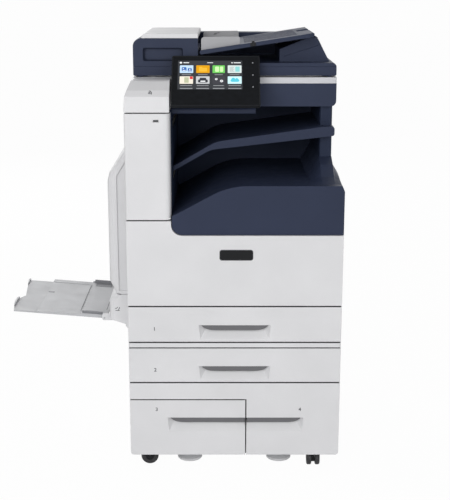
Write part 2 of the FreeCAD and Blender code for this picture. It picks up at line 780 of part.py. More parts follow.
# ---------------------------------------------------------------- main machine
BASE_TOP = f"({TRAY_1_LOW} - seam / 2)"
RIDGE = f"({EXIT_LOW} + ridge_rise)"
BAY_LEFT = f"({TOWER_RIGHT} + 1.5)"
BAY_RIGHT = f"({RIGHT} - column_in)"
BAY_BACK = "bay_deep"
SIDE_PIVOT_X = f"({LEFT} + 6.5)"
SIDE_PIVOT_Z = f"({BASE_TOP} + 24)"
DOOR_PIVOT_Y = "door_pivot_in"
DOOR_PIVOT_Z = f"({DOOR_LOW} + 6)"
DOOR_EARS = ("-door_ear_side", "door_ear_side")
INLET_LEFT = f"({LEFT} + inlet_left)"
INLET_RIGHT = f"({INLET_LEFT} + inlet_wide)"
INLET_LOW = f"({BASE_TOP} + inlet_up)"
INLET_HIGH = f"({INLET_LOW} + inlet_tall)"


def main_base():
    """The white base of the main machine, with the side door's two hinge posts."""
    body = new_body("main_base")
    slab(body, "XY", MODULE_TOP, BASE_TOP, [oblong(LEFT, RIGHT, "0", BACK, "corner_r")])
    shadow_line = ("XY", f"{MODULE_TOP} - 1", f"{MODULE_TOP} + seam / 2")
    cut(body, *shadow_line, [oblong(f"{LEFT} - 1", f"{RIGHT} + 1", "-1", "seam")])
    cut(body, *shadow_line, [oblong(f"{LEFT} - 1", f"{LEFT} + seam", "-1", f"{BACK} + 1")])
    cut(body, *shadow_line, [oblong(f"{RIGHT} - seam", f"{RIGHT} + 1", "-1", f"{BACK} + 1")])
    for near, far, pin_low, pin_high in (
            ("side_door_front - 7", "side_door_front - 1", "side_door_front - 4",
             "side_door_front + 5"),
            ("side_door_back + 1", "side_door_back + 7", "side_door_back - 5",
             "side_door_back + 4")):
        post = [(f"{SIDE_PIVOT_X} - 3.2", BASE_TOP), (f"{SIDE_PIVOT_X} + 9", BASE_TOP),
                (f"{SIDE_PIVOT_X} + 5", f"{SIDE_PIVOT_Z} + 5", 3),
                (f"{SIDE_PIVOT_X} - 3.2", f"{SIDE_PIVOT_Z} + 5", 3)]
        slab(body, "XZ", near, far, [rounded(post)])
        slab(body, "XZ", pin_low, pin_high, [], [(SIDE_PIVOT_X, SIDE_PIVOT_Z, "side_pin_r")])


def main_frame():
    left = f"(-{FRAME_SIDE})"
    top = SCAN_LOW
    bay_low = f"({EXIT_LOW} - 8)"
    path_wall = f"({TOWER_RIGHT} - 30)"
    rear = f"({FRAME_BACK} - steel_wall)"
    inlet_right = f"({INLET_RIGHT} + 7.5)"
    inlet_top = f"({INLET_HIGH} + 8)"
    frame_plates("main_frame", [
        (left, f"{left} + steel_wall", "side_door_back + 10", rear, BASE_TOP, top),
        (left, f"{left} + steel_wall", FRAME_FRONT, "side_door_front - 8", BASE_TOP, top),
        (f"{FRAME_SIDE} - steel_wall", FRAME_SIDE, FRAME_FRONT, rear, BASE_TOP, bay_low),
        (inlet_right, f"{BAY_RIGHT} - 4", rear, FRAME_BACK, BASE_TOP, inlet_top),
        (left, f"{BAY_RIGHT} - 4", rear, FRAME_BACK, inlet_top, top),
        (f"{left} + steel_wall", f"{FRAME_SIDE} - steel_wall", FRAME_FRONT, rear,
         DOOR_LOW, f"{DOOR_LOW} + steel_wall"),
        (f"{path_wall}", f"{FRAME_SIDE} - steel_wall", "front_thick + 23", rear,
         bay_low, f"{bay_low} + steel_wall"),
        (path_wall, f"{path_wall} + steel_wall", "front_thick + 23", BAY_BACK,
         f"{bay_low} + steel_wall", top),
        (path_wall, f"{BAY_RIGHT} - 4", f"{BAY_BACK} + 6", f"{BAY_BACK} + 6 + steel_wall",
         f"{bay_low} + steel_wall", top),
        (f"{path_wall}", f"{BAY_RIGHT} - 4", f"{BAY_BACK} + 6 + steel_wall", rear,
         f"{top} - steel_wall", top),
        runner(-1, TRAY_1_LEDGE, f"{left} + steel_wall", BIN_BACK, "side_door_front + 16"),
        runner(1, TRAY_1_LEDGE, f"{FRAME_SIDE} - steel_wall", BIN_BACK),
    ])


def shoulder(top):
    """The right-hand outline above the ridge, stepping in to the bay's column."""
    return [(RIGHT, f"{RIDGE} - shoulder_low", "shoulder_r"),
            (f"{RIGHT} - shoulder_in", f"{RIDGE} + shoulder_mid", "shoulder_r"),
            (BAY_RIGHT, f"{RIDGE} + shoulder_top", "shoulder_r"), (BAY_RIGHT, top)]


def shoulder_inside():
    """The inner face of the right-hand cover below the shoulder, from the top down."""
    bend = "shoulder_r - cover_wall"
    return [(f"{BAY_RIGHT} - cover_wall", f"{RIDGE} + shoulder_top - 0.35 * cover_wall",
             "shoulder_r + cover_wall"),
            (f"{RIGHT} - shoulder_in - 0.93 * cover_wall",
             f"{RIDGE} + shoulder_mid - 0.43 * cover_wall", bend),
            (f"{RIGHT} - cover_wall", f"{RIDGE} - shoulder_low - 0.11 * cover_wall", bend)]


def main_covers():
    """The rear, right and left skins of the main machine."""
    top = f"({SCAN_LOW} - 3)"
    body = new_body("main_rear_cover")
    slab(body, "XZ", f"{BACK} - cover_wall", BACK, [rounded(
        [(LEFT, BASE_TOP), (RIGHT, BASE_TOP)] + shoulder(top) + [(LEFT, top)])])
    slit = cut(body, "XZ", f"{BACK} - cover_wall - 1", f"{BACK} + 1",
               [oblong("-190", "-60", f"{TOWER_TOP} - 130", f"{TOWER_TOP} - 125"),
                oblong("40", "170", f"{TOWER_TOP} - 130", f"{TOWER_TOP} - 125")])
    pattern(body, slit, "Z", "81", 10)
    cut(body, "XZ", f"{BACK} - cover_wall - 1", f"{BACK} + 1",
        [oblong(INLET_LEFT, INLET_RIGHT, INLET_LOW, INLET_HIGH)]
        + [oblong(f"{LEFT} + socket_left", f"{LEFT} + socket_left + socket_wide", low,
                  f"{low} + socket_tall")
           for low in (f"{BASE_TOP} + socket_up", f"{BASE_TOP} + socket_up + socket_pitch")])
    body = new_body("main_right_cover")
    inner = f"{RIGHT} - cover_wall"
    slab(body, "YZ", inner, RIGHT, [oblong(
        "front_thick + 1", f"{BACK} - cover_wall", BASE_TOP, f"{EXIT_LOW} - 1.5", 4)])
    slit = cut(body, "YZ", f"{inner} - 1", f"{RIGHT} + 1", [oblong(
        f"{BACK} - 190", f"{BACK} - 70", "base_gap + 400", "base_gap + 404")])
    pattern(body, slit, "Z", "120", 13)
    slab(body, "XZ", BAY_BACK, f"{BACK} - cover_wall", [rounded(
        [(inner, f"{EXIT_LOW} - 10")] + [(RIGHT, f"{EXIT_LOW} - 10")] + shoulder(top)
        + [(f"{BAY_RIGHT} - cover_wall", top)] + shoulder_inside())])
    body = new_body("main_left_cover")
    gap_top = f"({TOWER_LOW} + 185)"
    slab(body, "YZ", LEFT, f"{LEFT} + cover_wall", [
        [("front_thick + 1", BASE_TOP), ("side_door_front - 2", BASE_TOP),
         ("side_door_front - 2", gap_top), ("side_door_back + 8", gap_top),
         ("side_door_back + 8", BASE_TOP), (f"{BACK} - cover_wall", BASE_TOP),
         (f"{BACK} - cover_wall", top), ("34", top), ("34", TOWER_LOW),
         ("front_thick + 1", TOWER_LOW)]])


def front_door():
    """The L-shaped front door: a hollow moulding that drops open on two hinges."""
    body = new_body("front_door")
    low = f"({DOOR_LOW} + seam / 2)"
    high = f"({EXIT_LOW} - seam / 2)"
    tall = f"({TOWER_LOW} - seam / 2)"
    thick = "(front_thick - 4)"

    def outline(inset, bend):
        return rounded([(f"{LEFT} + {inset}", f"{low} + {inset}"),
                        (f"{RIGHT} - {inset}", f"{low} + {inset}"),
                        (f"{RIGHT} - {inset}", f"{high} - {inset}"),
                        (f"{TOWER_RIGHT} - {inset}", f"{high} - {inset}", bend),
                        (f"{TOWER_RIGHT} - {inset}", f"{tall} - {inset}"),
                        (f"{LEFT} + {inset}", f"{tall} - {inset}")])

    slab(body, "XZ", "0", thick, [outline("0", "panel_corner_r + seam / 2")])
    ease(body, "Fillet", "front_edge_r", [
        ("x", {"y": "0", "z": level}) for level in (low, high, tall)])
    cut(body, "XZ", "cover_wall", f"{thick} + 1", [outline("6", "panel_corner_r - 4")])
    for step in (-2, -1, 1, 2):
        rib = f"{step} * door_rib_pitch"
        slab(body, "XZ", "cover_wall - 0.5", thick,
             [oblong(f"{rib} - 1.2", f"{rib} + 1.2", f"{low} + 3", f"{high} - 3")])
    for ear in DOOR_EARS:
        slab(body, "YZ", f"{ear} - 18", f"{ear} + 18",
             [oblong("1", thick, f"{low}", f"{DOOR_PIVOT_Z} + 9")])
        cut(body, "YZ", f"{ear} - 7", f"{ear} + 7",
            [oblong("1.4", f"{thick} + 1", f"{low} - 1", f"{DOOR_PIVOT_Z} + 5")])
        cut(body, "YZ", f"{ear} - 15", f"{ear} + 15", [],
            [(DOOR_PIVOT_Y, DOOR_PIVOT_Z, "door_pin_r + pin_play")])


TONER_SPOTS = tuple(f"({step} * toner_pitch - toner_left)" for step in range(4))
TONER_LEVEL = f"({DOOR_LOW} + toner_up)"
SWITCH_LEVEL = f"({DOOR_LOW} + switch_up)"
SWITCH_AXLE = ("front_thick + switch_in", SWITCH_LEVEL)


def inner_cover():
    """The panel behind the front door: cartridge ports, a bottle slot, hinge ears."""
    body = new_body("inner_cover")
    low = f"{DOOR_LOW} + steel_wall"
    high = f"({EXIT_LOW} - 10)"
    left, right = f"{LEFT} + inner_cover_in", f"{RIGHT} - inner_cover_in"
    slab(body, "XZ", "front_thick + 18", "front_thick + 21", [
        [(left, low), (right, low), (right, high), (f"{TOWER_RIGHT} - 10", high),
         (f"{TOWER_RIGHT} - 10", f"{TOWER_LOW} - 6"), (left, f"{TOWER_LOW} - 6")]])
    cut(body, "XZ", "front_thick", "front_thick + 22",
        [oblong("-waste_wide / 2", "waste_wide / 2", f"{DOOR_LOW} + waste_low",
                f"{DOOR_LOW} + waste_high", "waste_corner_r")],
        [(spot, TONER_LEVEL, "toner_r + fit_gap") for spot in TONER_SPOTS])
    slab(body, "XZ", "front_thick + 8.5", "front_thick + 19", [
        oblong("switch_side - 10", "switch_side + 10", f"{SWITCH_LEVEL} - 18",
               f"{SWITCH_LEVEL} + 18", 4)])
    cut(body, "XZ", "front_thick + 8", "front_thick + 19.5", [
        oblong("switch_side - 7.5", "switch_side + 7.5", f"{SWITCH_LEVEL} - 14",
               f"{SWITCH_LEVEL} + 14")])
    cut(body, "YZ", "switch_side - 9", "switch_side + 9", [],
        [(*SWITCH_AXLE, "switch_pin_r + pin_play")])
    for ear in DOOR_EARS:
        slab(body, "YZ", f"{ear} - 6", f"{ear} + 6",
             [oblong("door_pivot_in - 1.8", "front_thick + 18", f"{DOOR_PIVOT_Z} - 2.2",
                     f"{DOOR_PIVOT_Z} + 2.2")])
        slab(body, "YZ", f"{ear} - 14", f"{ear} + 14", [],
             [(DOOR_PIVOT_Y, DOOR_PIVOT_Z, "door_pin_r")])


def toner_cartridge(spot):
    """A toner bottle: a drum with a conical tail, and a cap with a finger bar."""
    body = doc.addObject("PartDesign::Body", "cartridge")
    front = "front_thick + 8"
    profile = [(spot, front), (f"{spot} + toner_cap_r", front),
               (f"{spot} + toner_cap_r", "front_thick + 17"),
               (f"{spot} + toner_r", "front_thick + 17"),
               (f"{spot} + toner_r", "front_thick + 290"), (f"{spot} + 20", "front_thick + 330"),
               (spot, "front_thick + 330")]
    revolve(body, "Revolution", "XY", TONER_LEVEL, profile, spot, "0", True)
    slab(body, "XZ", "front_thick + 3", f"{front} + 1",
         [oblong(f"{spot} - 26", f"{spot} + 26", f"{TONER_LEVEL} - 6", f"{TONER_LEVEL} + 6")])
    return body


def toner_bay():
    place(join("Compound", [toner_cartridge(spot) for spot in TONER_SPOTS]),
          "toner_cartridges")
    body = new_body("waste_toner_bottle")
    low = f"({DOOR_LOW} + waste_low + fit_gap)"
    high = f"({DOOR_LOW} + waste_high - fit_gap)"
    reach = "(waste_wide / 2 - fit_gap)"
    lip = "(waste_wide / 2 + waste_lip)"
    slab(body, "XZ", "front_thick + 14", "front_thick + 60",
         [oblong(f"-{reach}", reach, low, high, "waste_corner_r - fit_gap")])
    slab(body, "XZ", "front_thick + 8", "front_thick + 14",
         [oblong(f"-{lip}", lip, f"{low} - 5", f"{high} + 5", 16)])
    cut(body, "XZ", "front_thick + 7", "front_thick + 16",
        [oblong("-40", "40", f"{low} + 18", f"{low} + 44", 10)])
    switch = new_body("main_power_switch")
    axle, level = SWITCH_AXLE
    profile = [(f"{axle} - 5", f"{level} - 11"), (axle, f"{level} - 11"),
               (f"{axle} + 2", level), (axle, f"{level} + 11"),
               (f"{axle} - 3", f"{level} + 11"), (f"{axle} - 1.5", level)]
    slab(switch, "YZ", "switch_side - 6", "switch_side + 6", [profile])
    slab(switch, "YZ", "switch_side - 8.8", "switch_side + 8.8", [],
         [(axle, level, "switch_pin_r")])


# ---------------------------------------------------------------- output bay and tower
BAY_LOW = f"({EXIT_LOW} + 0.5)"
WING_LEFT = f"({BAY_RIGHT} - wing_wide)"
LOWER_SLOT = f"({RIDGE} + 4)"
UPPER_SLOT = f"({RIDGE} + 140)"
ROLLER_X = f"({BAY_LEFT} - 9)"


def tray_outline(lift):
    """Section of the output tray across the machine; lift raises its right-hand wing."""
    rise = f"{lift} * wing_rise"
    return rounded([
        (BAY_LEFT, BAY_LOW, "panel_corner_r"), (RIGHT, BAY_LOW),
        (RIGHT, f"{RIDGE} - shoulder_low"),
        (f"{RIGHT} - 6", f"{RIDGE} + 0.2 * {rise}"),
        (f"{BAY_RIGHT} + 4", f"{RIDGE} + 0.6 * {rise}"), (BAY_RIGHT, f"{RIDGE} + {rise}"),
        (WING_LEFT, f"{RIDGE} + {rise}"), (f"{WING_LEFT} - 14", f"{RIDGE} + 0.45 * {rise}"),
        (f"{WING_LEFT} - 30", RIDGE), (f"{BAY_LEFT} + ridge_bend", RIDGE, "ridge_r"),
        (BAY_LEFT, f"{BAY_LOW} + ridge_left")])


def exit_tray():
    """The lower output tray: one moulding from the front panel to the back of the bay."""
    body = new_body("exit_tray")
    slab(body, "XZ", "0", "wing_start", [tray_outline("0")])
    third = "(wing_end - wing_start) / 3"
    loft(body, "AdditiveLoft", "XZ", [
        ("wing_start", tray_outline("0")), (f"wing_start + {third}", tray_outline("0.24")),
        (f"wing_start + 2 * {third}", tray_outline("0.72")), ("wing_end", tray_outline("1"))])
    slab(body, "XZ", "wing_end", BAY_BACK, [tray_outline("1")])
    hollow = [(f"{BAY_LEFT} + 4", f"{BAY_LOW} - 1"), (f"{RIGHT} - 4", f"{BAY_LOW} - 1"),
              (f"{RIGHT} - 4", f"{RIDGE} - 22"), (f"{WING_LEFT} - 30", f"{RIDGE} - 5"),
              (f"{BAY_LEFT} + ridge_bend + 44", f"{RIDGE} - 5"),
              (f"{BAY_LEFT} + ridge_bend - 60", f"{RIDGE} - 34"),
              (f"{BAY_LEFT} + 4", f"{BAY_LOW} + ridge_left - 5")]
    cut(body, "XZ", "cover_wall + 2", f"{BAY_BACK} - 4", [hollow])


def upper_exit_tray():
    """The upper output tray, hung on the bay's right-hand column."""
    body = new_body("upper_exit_tray")
    top_right = f"{RIDGE} + 134"
    low_right = f"{RIDGE} + 107"
    outline = rounded([
        (f"{BAY_LEFT} + 1", f"{RIDGE} + 21"), (f"{BAY_LEFT} + 96", f"{RIDGE} + 75", 70),
        (WING_LEFT, low_right), (f"{BAY_RIGHT} + 3", f"{low_right} + 4", 6),
        (f"{BAY_RIGHT} + 3", top_right, 6), (WING_LEFT, f"{top_right} - 1"),
        (f"{BAY_LEFT} + 110", f"{RIDGE} + 96", 90), (f"{BAY_LEFT} + 1", f"{RIDGE} + 33")])
    slab(body, "XZ", "upper_tray_front", "wing_end", [outline])
    inner = rounded([
        (f"{BAY_LEFT} + 1", f"{RIDGE} + 25"), (f"{BAY_LEFT} + 100", f"{RIDGE} + 82", 70),
        (f"{WING_LEFT} - fit_gap", f"{low_right} + 12"),
        (f"{WING_LEFT} - fit_gap", f"{top_right} - 1"),
        (f"{BAY_LEFT} + 110", f"{RIDGE} + 96", 90), (f"{BAY_LEFT} + 1", f"{RIDGE} + 33")])
    slab(body, "XZ", "wing_end", BAY_BACK, [inner])


def roller_spots():
    return (("lower", LOWER_SLOT), ("upper", UPPER_SLOT))


def exit_bay_walls():
    """The bay's left, rear and right walls, with the two sheet slots."""
    body = new_body("exit_bay_walls")
    top = SCAN_LOW
    wall_left = f"({BAY_LEFT} - cover_wall)"
    slab(body, "XY", BAY_LOW, top, [[
        (wall_left, "front_thick + 14"), (BAY_LEFT, "front_thick + 14"), (BAY_LEFT, BAY_BACK),
        (WING_LEFT, BAY_BACK), (WING_LEFT, f"{BAY_BACK} + 4"),
        (wall_left, f"{BAY_BACK} + 4")]])
    slab(body, "XY", f"{RIDGE} + wing_rise", top, [rounded([
        (WING_LEFT, "wing_end", 5), (BAY_RIGHT, "wing_end", 8),
        (BAY_RIGHT, BAY_BACK), (f"{BAY_RIGHT} - cover_wall - 1", BAY_BACK),
        (f"{BAY_RIGHT} - cover_wall - 1", f"{BAY_BACK} + 4"), (WING_LEFT, f"{BAY_BACK} + 4")])])
    cut(body, "YZ", f"{wall_left} - 1", f"{BAY_LEFT} + 1", [
        oblong("rollers_front + 8", "rollers_back - 8", f"{slot} - 12", f"{slot} + 12", 4)
        for _, slot in roller_spots()])
    for _, slot in roller_spots():
        for near in ("rollers_front", "rollers_back - roller_ear"):
            slab(body, "XZ", near, f"{near} + roller_ear", [oblong(
                f"{ROLLER_X} - 8", f"{wall_left} + 0.5", f"{slot} - 8", f"{slot} + 8")])
            cut(body, "XZ", f"{near} - 1", f"{near} + roller_ear + 1", [],
                [(ROLLER_X, slot, "shaft_r + pin_play")])


def exit_rollers():
    """Rubber rollers on a shaft, one set behind each sheet slot."""
    for name, slot in roller_spots():
        body = new_body(f"exit_rollers_{name}")
        slab(body, "XZ", "rollers_front + 1", "rollers_back - 1", [],
             [(ROLLER_X, slot, "shaft_r")])
        for step in range(4):
            near = f"rollers_front + 24 + {step} * roller_pitch"
            slab(body, "XZ", near, f"{near} + roller_wide", [], [(ROLLER_X, slot, "roller_r")])


def tower_covers():
    """The tall cover left of the bay, and the cap that leans back above it."""
    body = new_body("tower_cover")
    low, high = f"({TOWER_LOW} + seam / 2)", f"({TOWER_TOP} - seam / 2)"
    slab(body, "XY", low, high, [rounded([
        (LEFT, "0", 5), (TOWER_RIGHT, "0", 14), (TOWER_RIGHT, "front_thick + 11"),
        (LEFT, "front_thick + 11")])])
    cut(body, "XY", f"{low} - 1", f"{high} + 1", [rounded([
        (f"{LEFT} + cover_wall", "cover_wall", 3), (f"{TOWER_RIGHT} - cover_wall", "cover_wall", 11),
        (f"{TOWER_RIGHT} - cover_wall", "front_thick + 12"),
        (f"{LEFT} + cover_wall", "front_thick + 12")])])
    slab(body, "XY", f"{low} + 2", f"{low} + 5", [oblong(
        f"{LEFT} + 1", f"{TOWER_RIGHT} - 1", "cover_wall - 0.5", f"{FRAME_FRONT} - 1")])
    port_x, port_z = f"({LEFT} + 78.5)", f"({TOWER_TOP} - 19)"
    cut(body, "XZ", "-1", "cover_wall + 1",
        [oblong(f"{port_x} - 7.5", f"{port_x} + 7.5", f"{port_z} - 3.5", f"{port_z} + 3.5")])
    cap = new_body("tower_top_cover")
    right = f"({TOWER_RIGHT} - 1.8)"
    back = "(scanner_front - fit_gap)"

    def section(inset, front, level):
        return (level, oblong(f"{LEFT} + {inset}", right, front, back))

    shelf = f"({TOWER_TOP} + seam / 2)"
    bend = f"({TOWER_TOP} + 40)"
    loft(cap, "AdditiveLoft", "XY", [
        section("0", "0", shelf), section("2", "0.5", bend),
        section("7", "14", f"{bend} + 14"), section("15", "46", f"{LID_LOW} - 3"),
        section("19", "58", f"{LID_LOW} - 0.5")])
    cut(cap, "XY", f"{shelf} - 1", f"{SCAN_LOW} + fit_gap", [oblong(
        f"{LEFT} - 1", f"{TOWER_RIGHT} + 1", f"{FRAME_FRONT} - 1", "scanner_front + 1")])


# ---------------------------------------------------------------- side door and bypass
SIDE_LEFT = f"({LEFT} - side_door_out)"
SIDE_RIGHT = f"({LEFT} - 0.5)"
SIDE_TOP = f"({TOWER_LOW} + 169)"
SIDE_SLOT = f"({BASE_TOP} + 115)"
TRAY_PIVOT_X = f"({SIDE_LEFT} - 19.5)"
TRAY_PIVOT_Z = f"({BASE_TOP} + 41)"


def side_outline(inset):
    """Section of the side door: sloped shoulder, flat skin, and the bypass housing."""
    left = f"{SIDE_LEFT} + {inset}"
    return rounded([
        (SIDE_RIGHT, SIDE_TOP), (f"{SIDE_RIGHT} - 4 + 0.2 * {inset}", SIDE_TOP),
        (f"{left} + 6", f"{SIDE_TOP} - 56", 14), (left, f"{SIDE_TOP} - 80", 24),
        (left, f"{SIDE_SLOT} + 34", 14), (f"{left} + 16", f"{SIDE_SLOT} + 2"),
        (f"{left} + 26", f"{SIDE_SLOT} + 2"), (f"{left} + 26", f"{SIDE_SLOT} - 1"),
        (f"{left} + 14", f"{SIDE_SLOT} - 1"), (f"{left} - 3", f"{SIDE_SLOT} - 18", 9),
        (f"{left} - 3", f"{BASE_TOP} + 46", 7), (f"{SIDE_RIGHT} - 8", f"{BASE_TOP} + 34", 5),
        (SIDE_RIGHT, f"{BASE_TOP} + 34")])


def side_door():
    """The left door over the paper path, which carries the bypass tray."""
    body = new_body("side_door")
    front, back = "side_door_front", "side_door_back"
    loft(body, "AdditiveLoft", "XZ", [
        (front, side_outline("13")), (f"{front} + 5", side_outline("4")),
        (f"{front} + 16", side_outline("0"))])
    slab(body, "XZ", f"{front} + 16", f"{back} - 16", [side_outline("0")])
    loft(body, "AdditiveLoft", "XZ", [
        (f"{back} - 16", side_outline("0")), (f"{back} - 5", side_outline("4")),
        (back, side_outline("13"))])
    cut(body, "XZ", f"{front} + 6", f"{back} - 6", [[
        (f"{SIDE_RIGHT} + 1", f"{SIDE_TOP} - 14"), (f"{SIDE_RIGHT} - 6", f"{SIDE_TOP} - 14"),
        (f"{SIDE_LEFT} + 16", f"{SIDE_TOP} - 80"), (f"{SIDE_LEFT} + 8", f"{SIDE_TOP} - 110"),
        (f"{SIDE_LEFT} + 8", f"{SIDE_SLOT} + 44"), (f"{SIDE_LEFT} + 24", f"{SIDE_SLOT} + 10"),
        (f"{SIDE_RIGHT} + 1", f"{SIDE_SLOT} + 10")]])
    cut(body, "XZ", f"{front} - 1", f"{front} + 4", [oblong(
        f"{SIDE_LEFT} - 4", f"{SIDE_RIGHT} + 1", f"{SIDE_SLOT} - 1", f"{SIDE_SLOT} + 2")])
    cut(body, "XZ", f"{front} - 1", f"{front} + 3.5", [[
        (f"{SIDE_LEFT} + 24", f"{SIDE_SLOT} + 10"), (f"{SIDE_RIGHT} + 1", f"{SIDE_SLOT} + 10"),
        (f"{SIDE_RIGHT} + 1", f"{SIDE_TOP} - 22"), (f"{SIDE_LEFT} + 24", f"{SIDE_TOP} - 66")]])
    mouth_low = f"({TRAY_PIVOT_Z} + 6)"
    cut(body, "XZ", "bypass_front + 4", "bypass_front + bypass_wide - 4", [oblong(
        f"{SIDE_LEFT} - 5", f"{SIDE_RIGHT} + 1", mouth_low, f"{mouth_low} + 18")])
    for near, far in ((front, f"{front} + 5.5"), (f"{back} - 5.5", back)):
        slab(body, "XZ", near, far, [rounded([
            (f"{SIDE_RIGHT} - 10", f"{SIDE_PIVOT_Z} + 24"), (f"{SIDE_RIGHT} - 10",
             f"{SIDE_PIVOT_Z} + 6"), (f"{SIDE_PIVOT_X} - 5", f"{SIDE_PIVOT_Z} - 7", 4),
            (f"{SIDE_PIVOT_X} + 6", f"{SIDE_PIVOT_Z} - 7", 4),
            (f"{SIDE_PIVOT_X} + 6", f"{SIDE_PIVOT_Z} + 7", 4),
            (f"{SIDE_RIGHT}", f"{SIDE_PIVOT_Z} + 24")])])
        cut(body, "XZ", f"{near} - 1", f"{far} + 1", [],
            [(SIDE_PIVOT_X, SIDE_PIVOT_Z, "side_pin_r + pin_play")])
    for near, far in (("bypass_front - 5", "bypass_front - fit_gap"),
                      ("bypass_front + bypass_wide + fit_gap",
                       "bypass_front + bypass_wide + 5")):
        slab(body, "XZ", near, far, [oblong(
            f"{TRAY_PIVOT_X} - 6", f"{SIDE_LEFT} + 4", f"{TRAY_PIVOT_Z} - 6",
            f"{TRAY_PIVOT_Z} + 12", 5)])
        cut(body, "XZ", f"{near} - 1", f"{far} + 1", [],
            [(TRAY_PIVOT_X, TRAY_PIVOT_Z, "bypass_pin_r + pin_play")])


def on_tray(along, up):
    """A point of the bypass tray's section: along it from its pivot, and up from it."""
    return (f"{TRAY_PIVOT_X} - ({along}) * cos(bypass_rise) + ({up}) * sin(bypass_rise)",
            f"{TRAY_PIVOT_Z} + ({along}) * sin(bypass_rise) + ({up}) * cos(bypass_rise)")


def strip(start, end, low, high):
    return [on_tray(start, low), on_tray(end, low), on_tray(end, high), on_tray(start, high)]


def bypass():
    """The fold-down bypass tray, its pull-out end, and its two sheet guides."""
    near, far = "bypass_front", "(bypass_front + bypass_wide)"
    tray = new_body("bypass_tray")
    slab(tray, "XZ", near, far, [strip("-7", "bypass_long", "3 - bypass_thick", "3")])
    cut(tray, "XZ", f"{near} + 26", f"{far} - 26", [strip("64", "bypass_long + 1", "2", "4")])
    for low, high in ((near, f"{near} + 3"), (f"{far} - 3", far)):
        slab(tray, "XZ", low, high, [strip("-7", "66", "2", "7")])
    slab(tray, "XZ", f"{near} - 4.5", f"{far} + 4.5", [],
         [(TRAY_PIVOT_X, TRAY_PIVOT_Z, "bypass_pin_r")])
    reach = "(bypass_long + bypass_reach)"
    plate = new_body("bypass_extension")
    low = "(3 - bypass_thick)"
    slab(plate, "XZ", f"{near} + 10", f"{far} - 10", [
        strip("bypass_long - 58", reach, f"{low} - 3.2", f"{low} - 0.2")])
    slab(plate, "XZ", f"{near} + 10", f"{far} - 10", [
        strip(f"{reach} - 5", reach, f"{low} - 1", "3")])
    tip, rise = on_tray(reach, "0")
    cut(plate, "XY", f"{rise} - 12", f"{rise} + 12", [
        [(f"{tip} - 1", f"{near} + 9"), (f"{tip} + 9", f"{near} + 9"),
         (f"{tip} - 1", f"{near} + 80")],
        [(f"{tip} - 1", f"{near} + 104"), (f"{tip} + 17", f"{near} + 150"),
         (f"{tip} + 15", f"{near} + 162"), (f"{tip} - 1", f"{far} - 12")]])
    middle = "(bypass_front + bypass_wide / 2)"
    for name, sign in (("front", -1), ("rear", 1)):
        guide = new_body(f"bypass_guide_{name}")
        face = f"{middle} + {sign} * sheet_short / 2"
        back = f"{face} + {sign} * 3"
        toe = f"{face} - {sign} * bypass_guide_toe"
        low_y, high_y = (back, face) if sign < 0 else (face, back)
        slab(guide, "XZ", low_y, high_y, [strip("6", "60", "3", "13")])
        low_y, high_y = (back, toe) if sign < 0 else (toe, back)
        slab(guide, "XZ", low_y, high_y, [strip("10", "54", "3", "4.2")])


# ---------------------------------------------------------------- scanner
SCAN_LEFT = "(-scanner_wide / 2)"
SCAN_RIGHT = "(scanner_wide / 2)"
SCAN_BACK = "(scanner_front + scanner_deep)"
RIM_BACK = f"({SCAN_BACK} - 29)"
GLASS_LEFT = "(-glass_wide / 2)"
GLASS_FRONT = "(scanner_front + 32)"
GLASS_BACK = f"({GLASS_FRONT} + glass_deep)"
STRIP_LEFT = f"({SCAN_LEFT} + 7)"
STRIP_RIGHT = f"({GLASS_LEFT} - 13)"
RAIL_TOP = f"({SCAN_LOW} + 19.6)"
LID_BASE = f"({LID_LOW} + pad_thick + fit_gap)"
LID_TOP = f"({LID_BASE} + lid_tall)"
LID_PIVOT_Y = f"({SCAN_BACK} - 13)"
LID_PIVOT_Z = f"({LID_BASE} + 11)"
LID_HINGES = ("-lid_hinge_side", "lid_hinge_side")


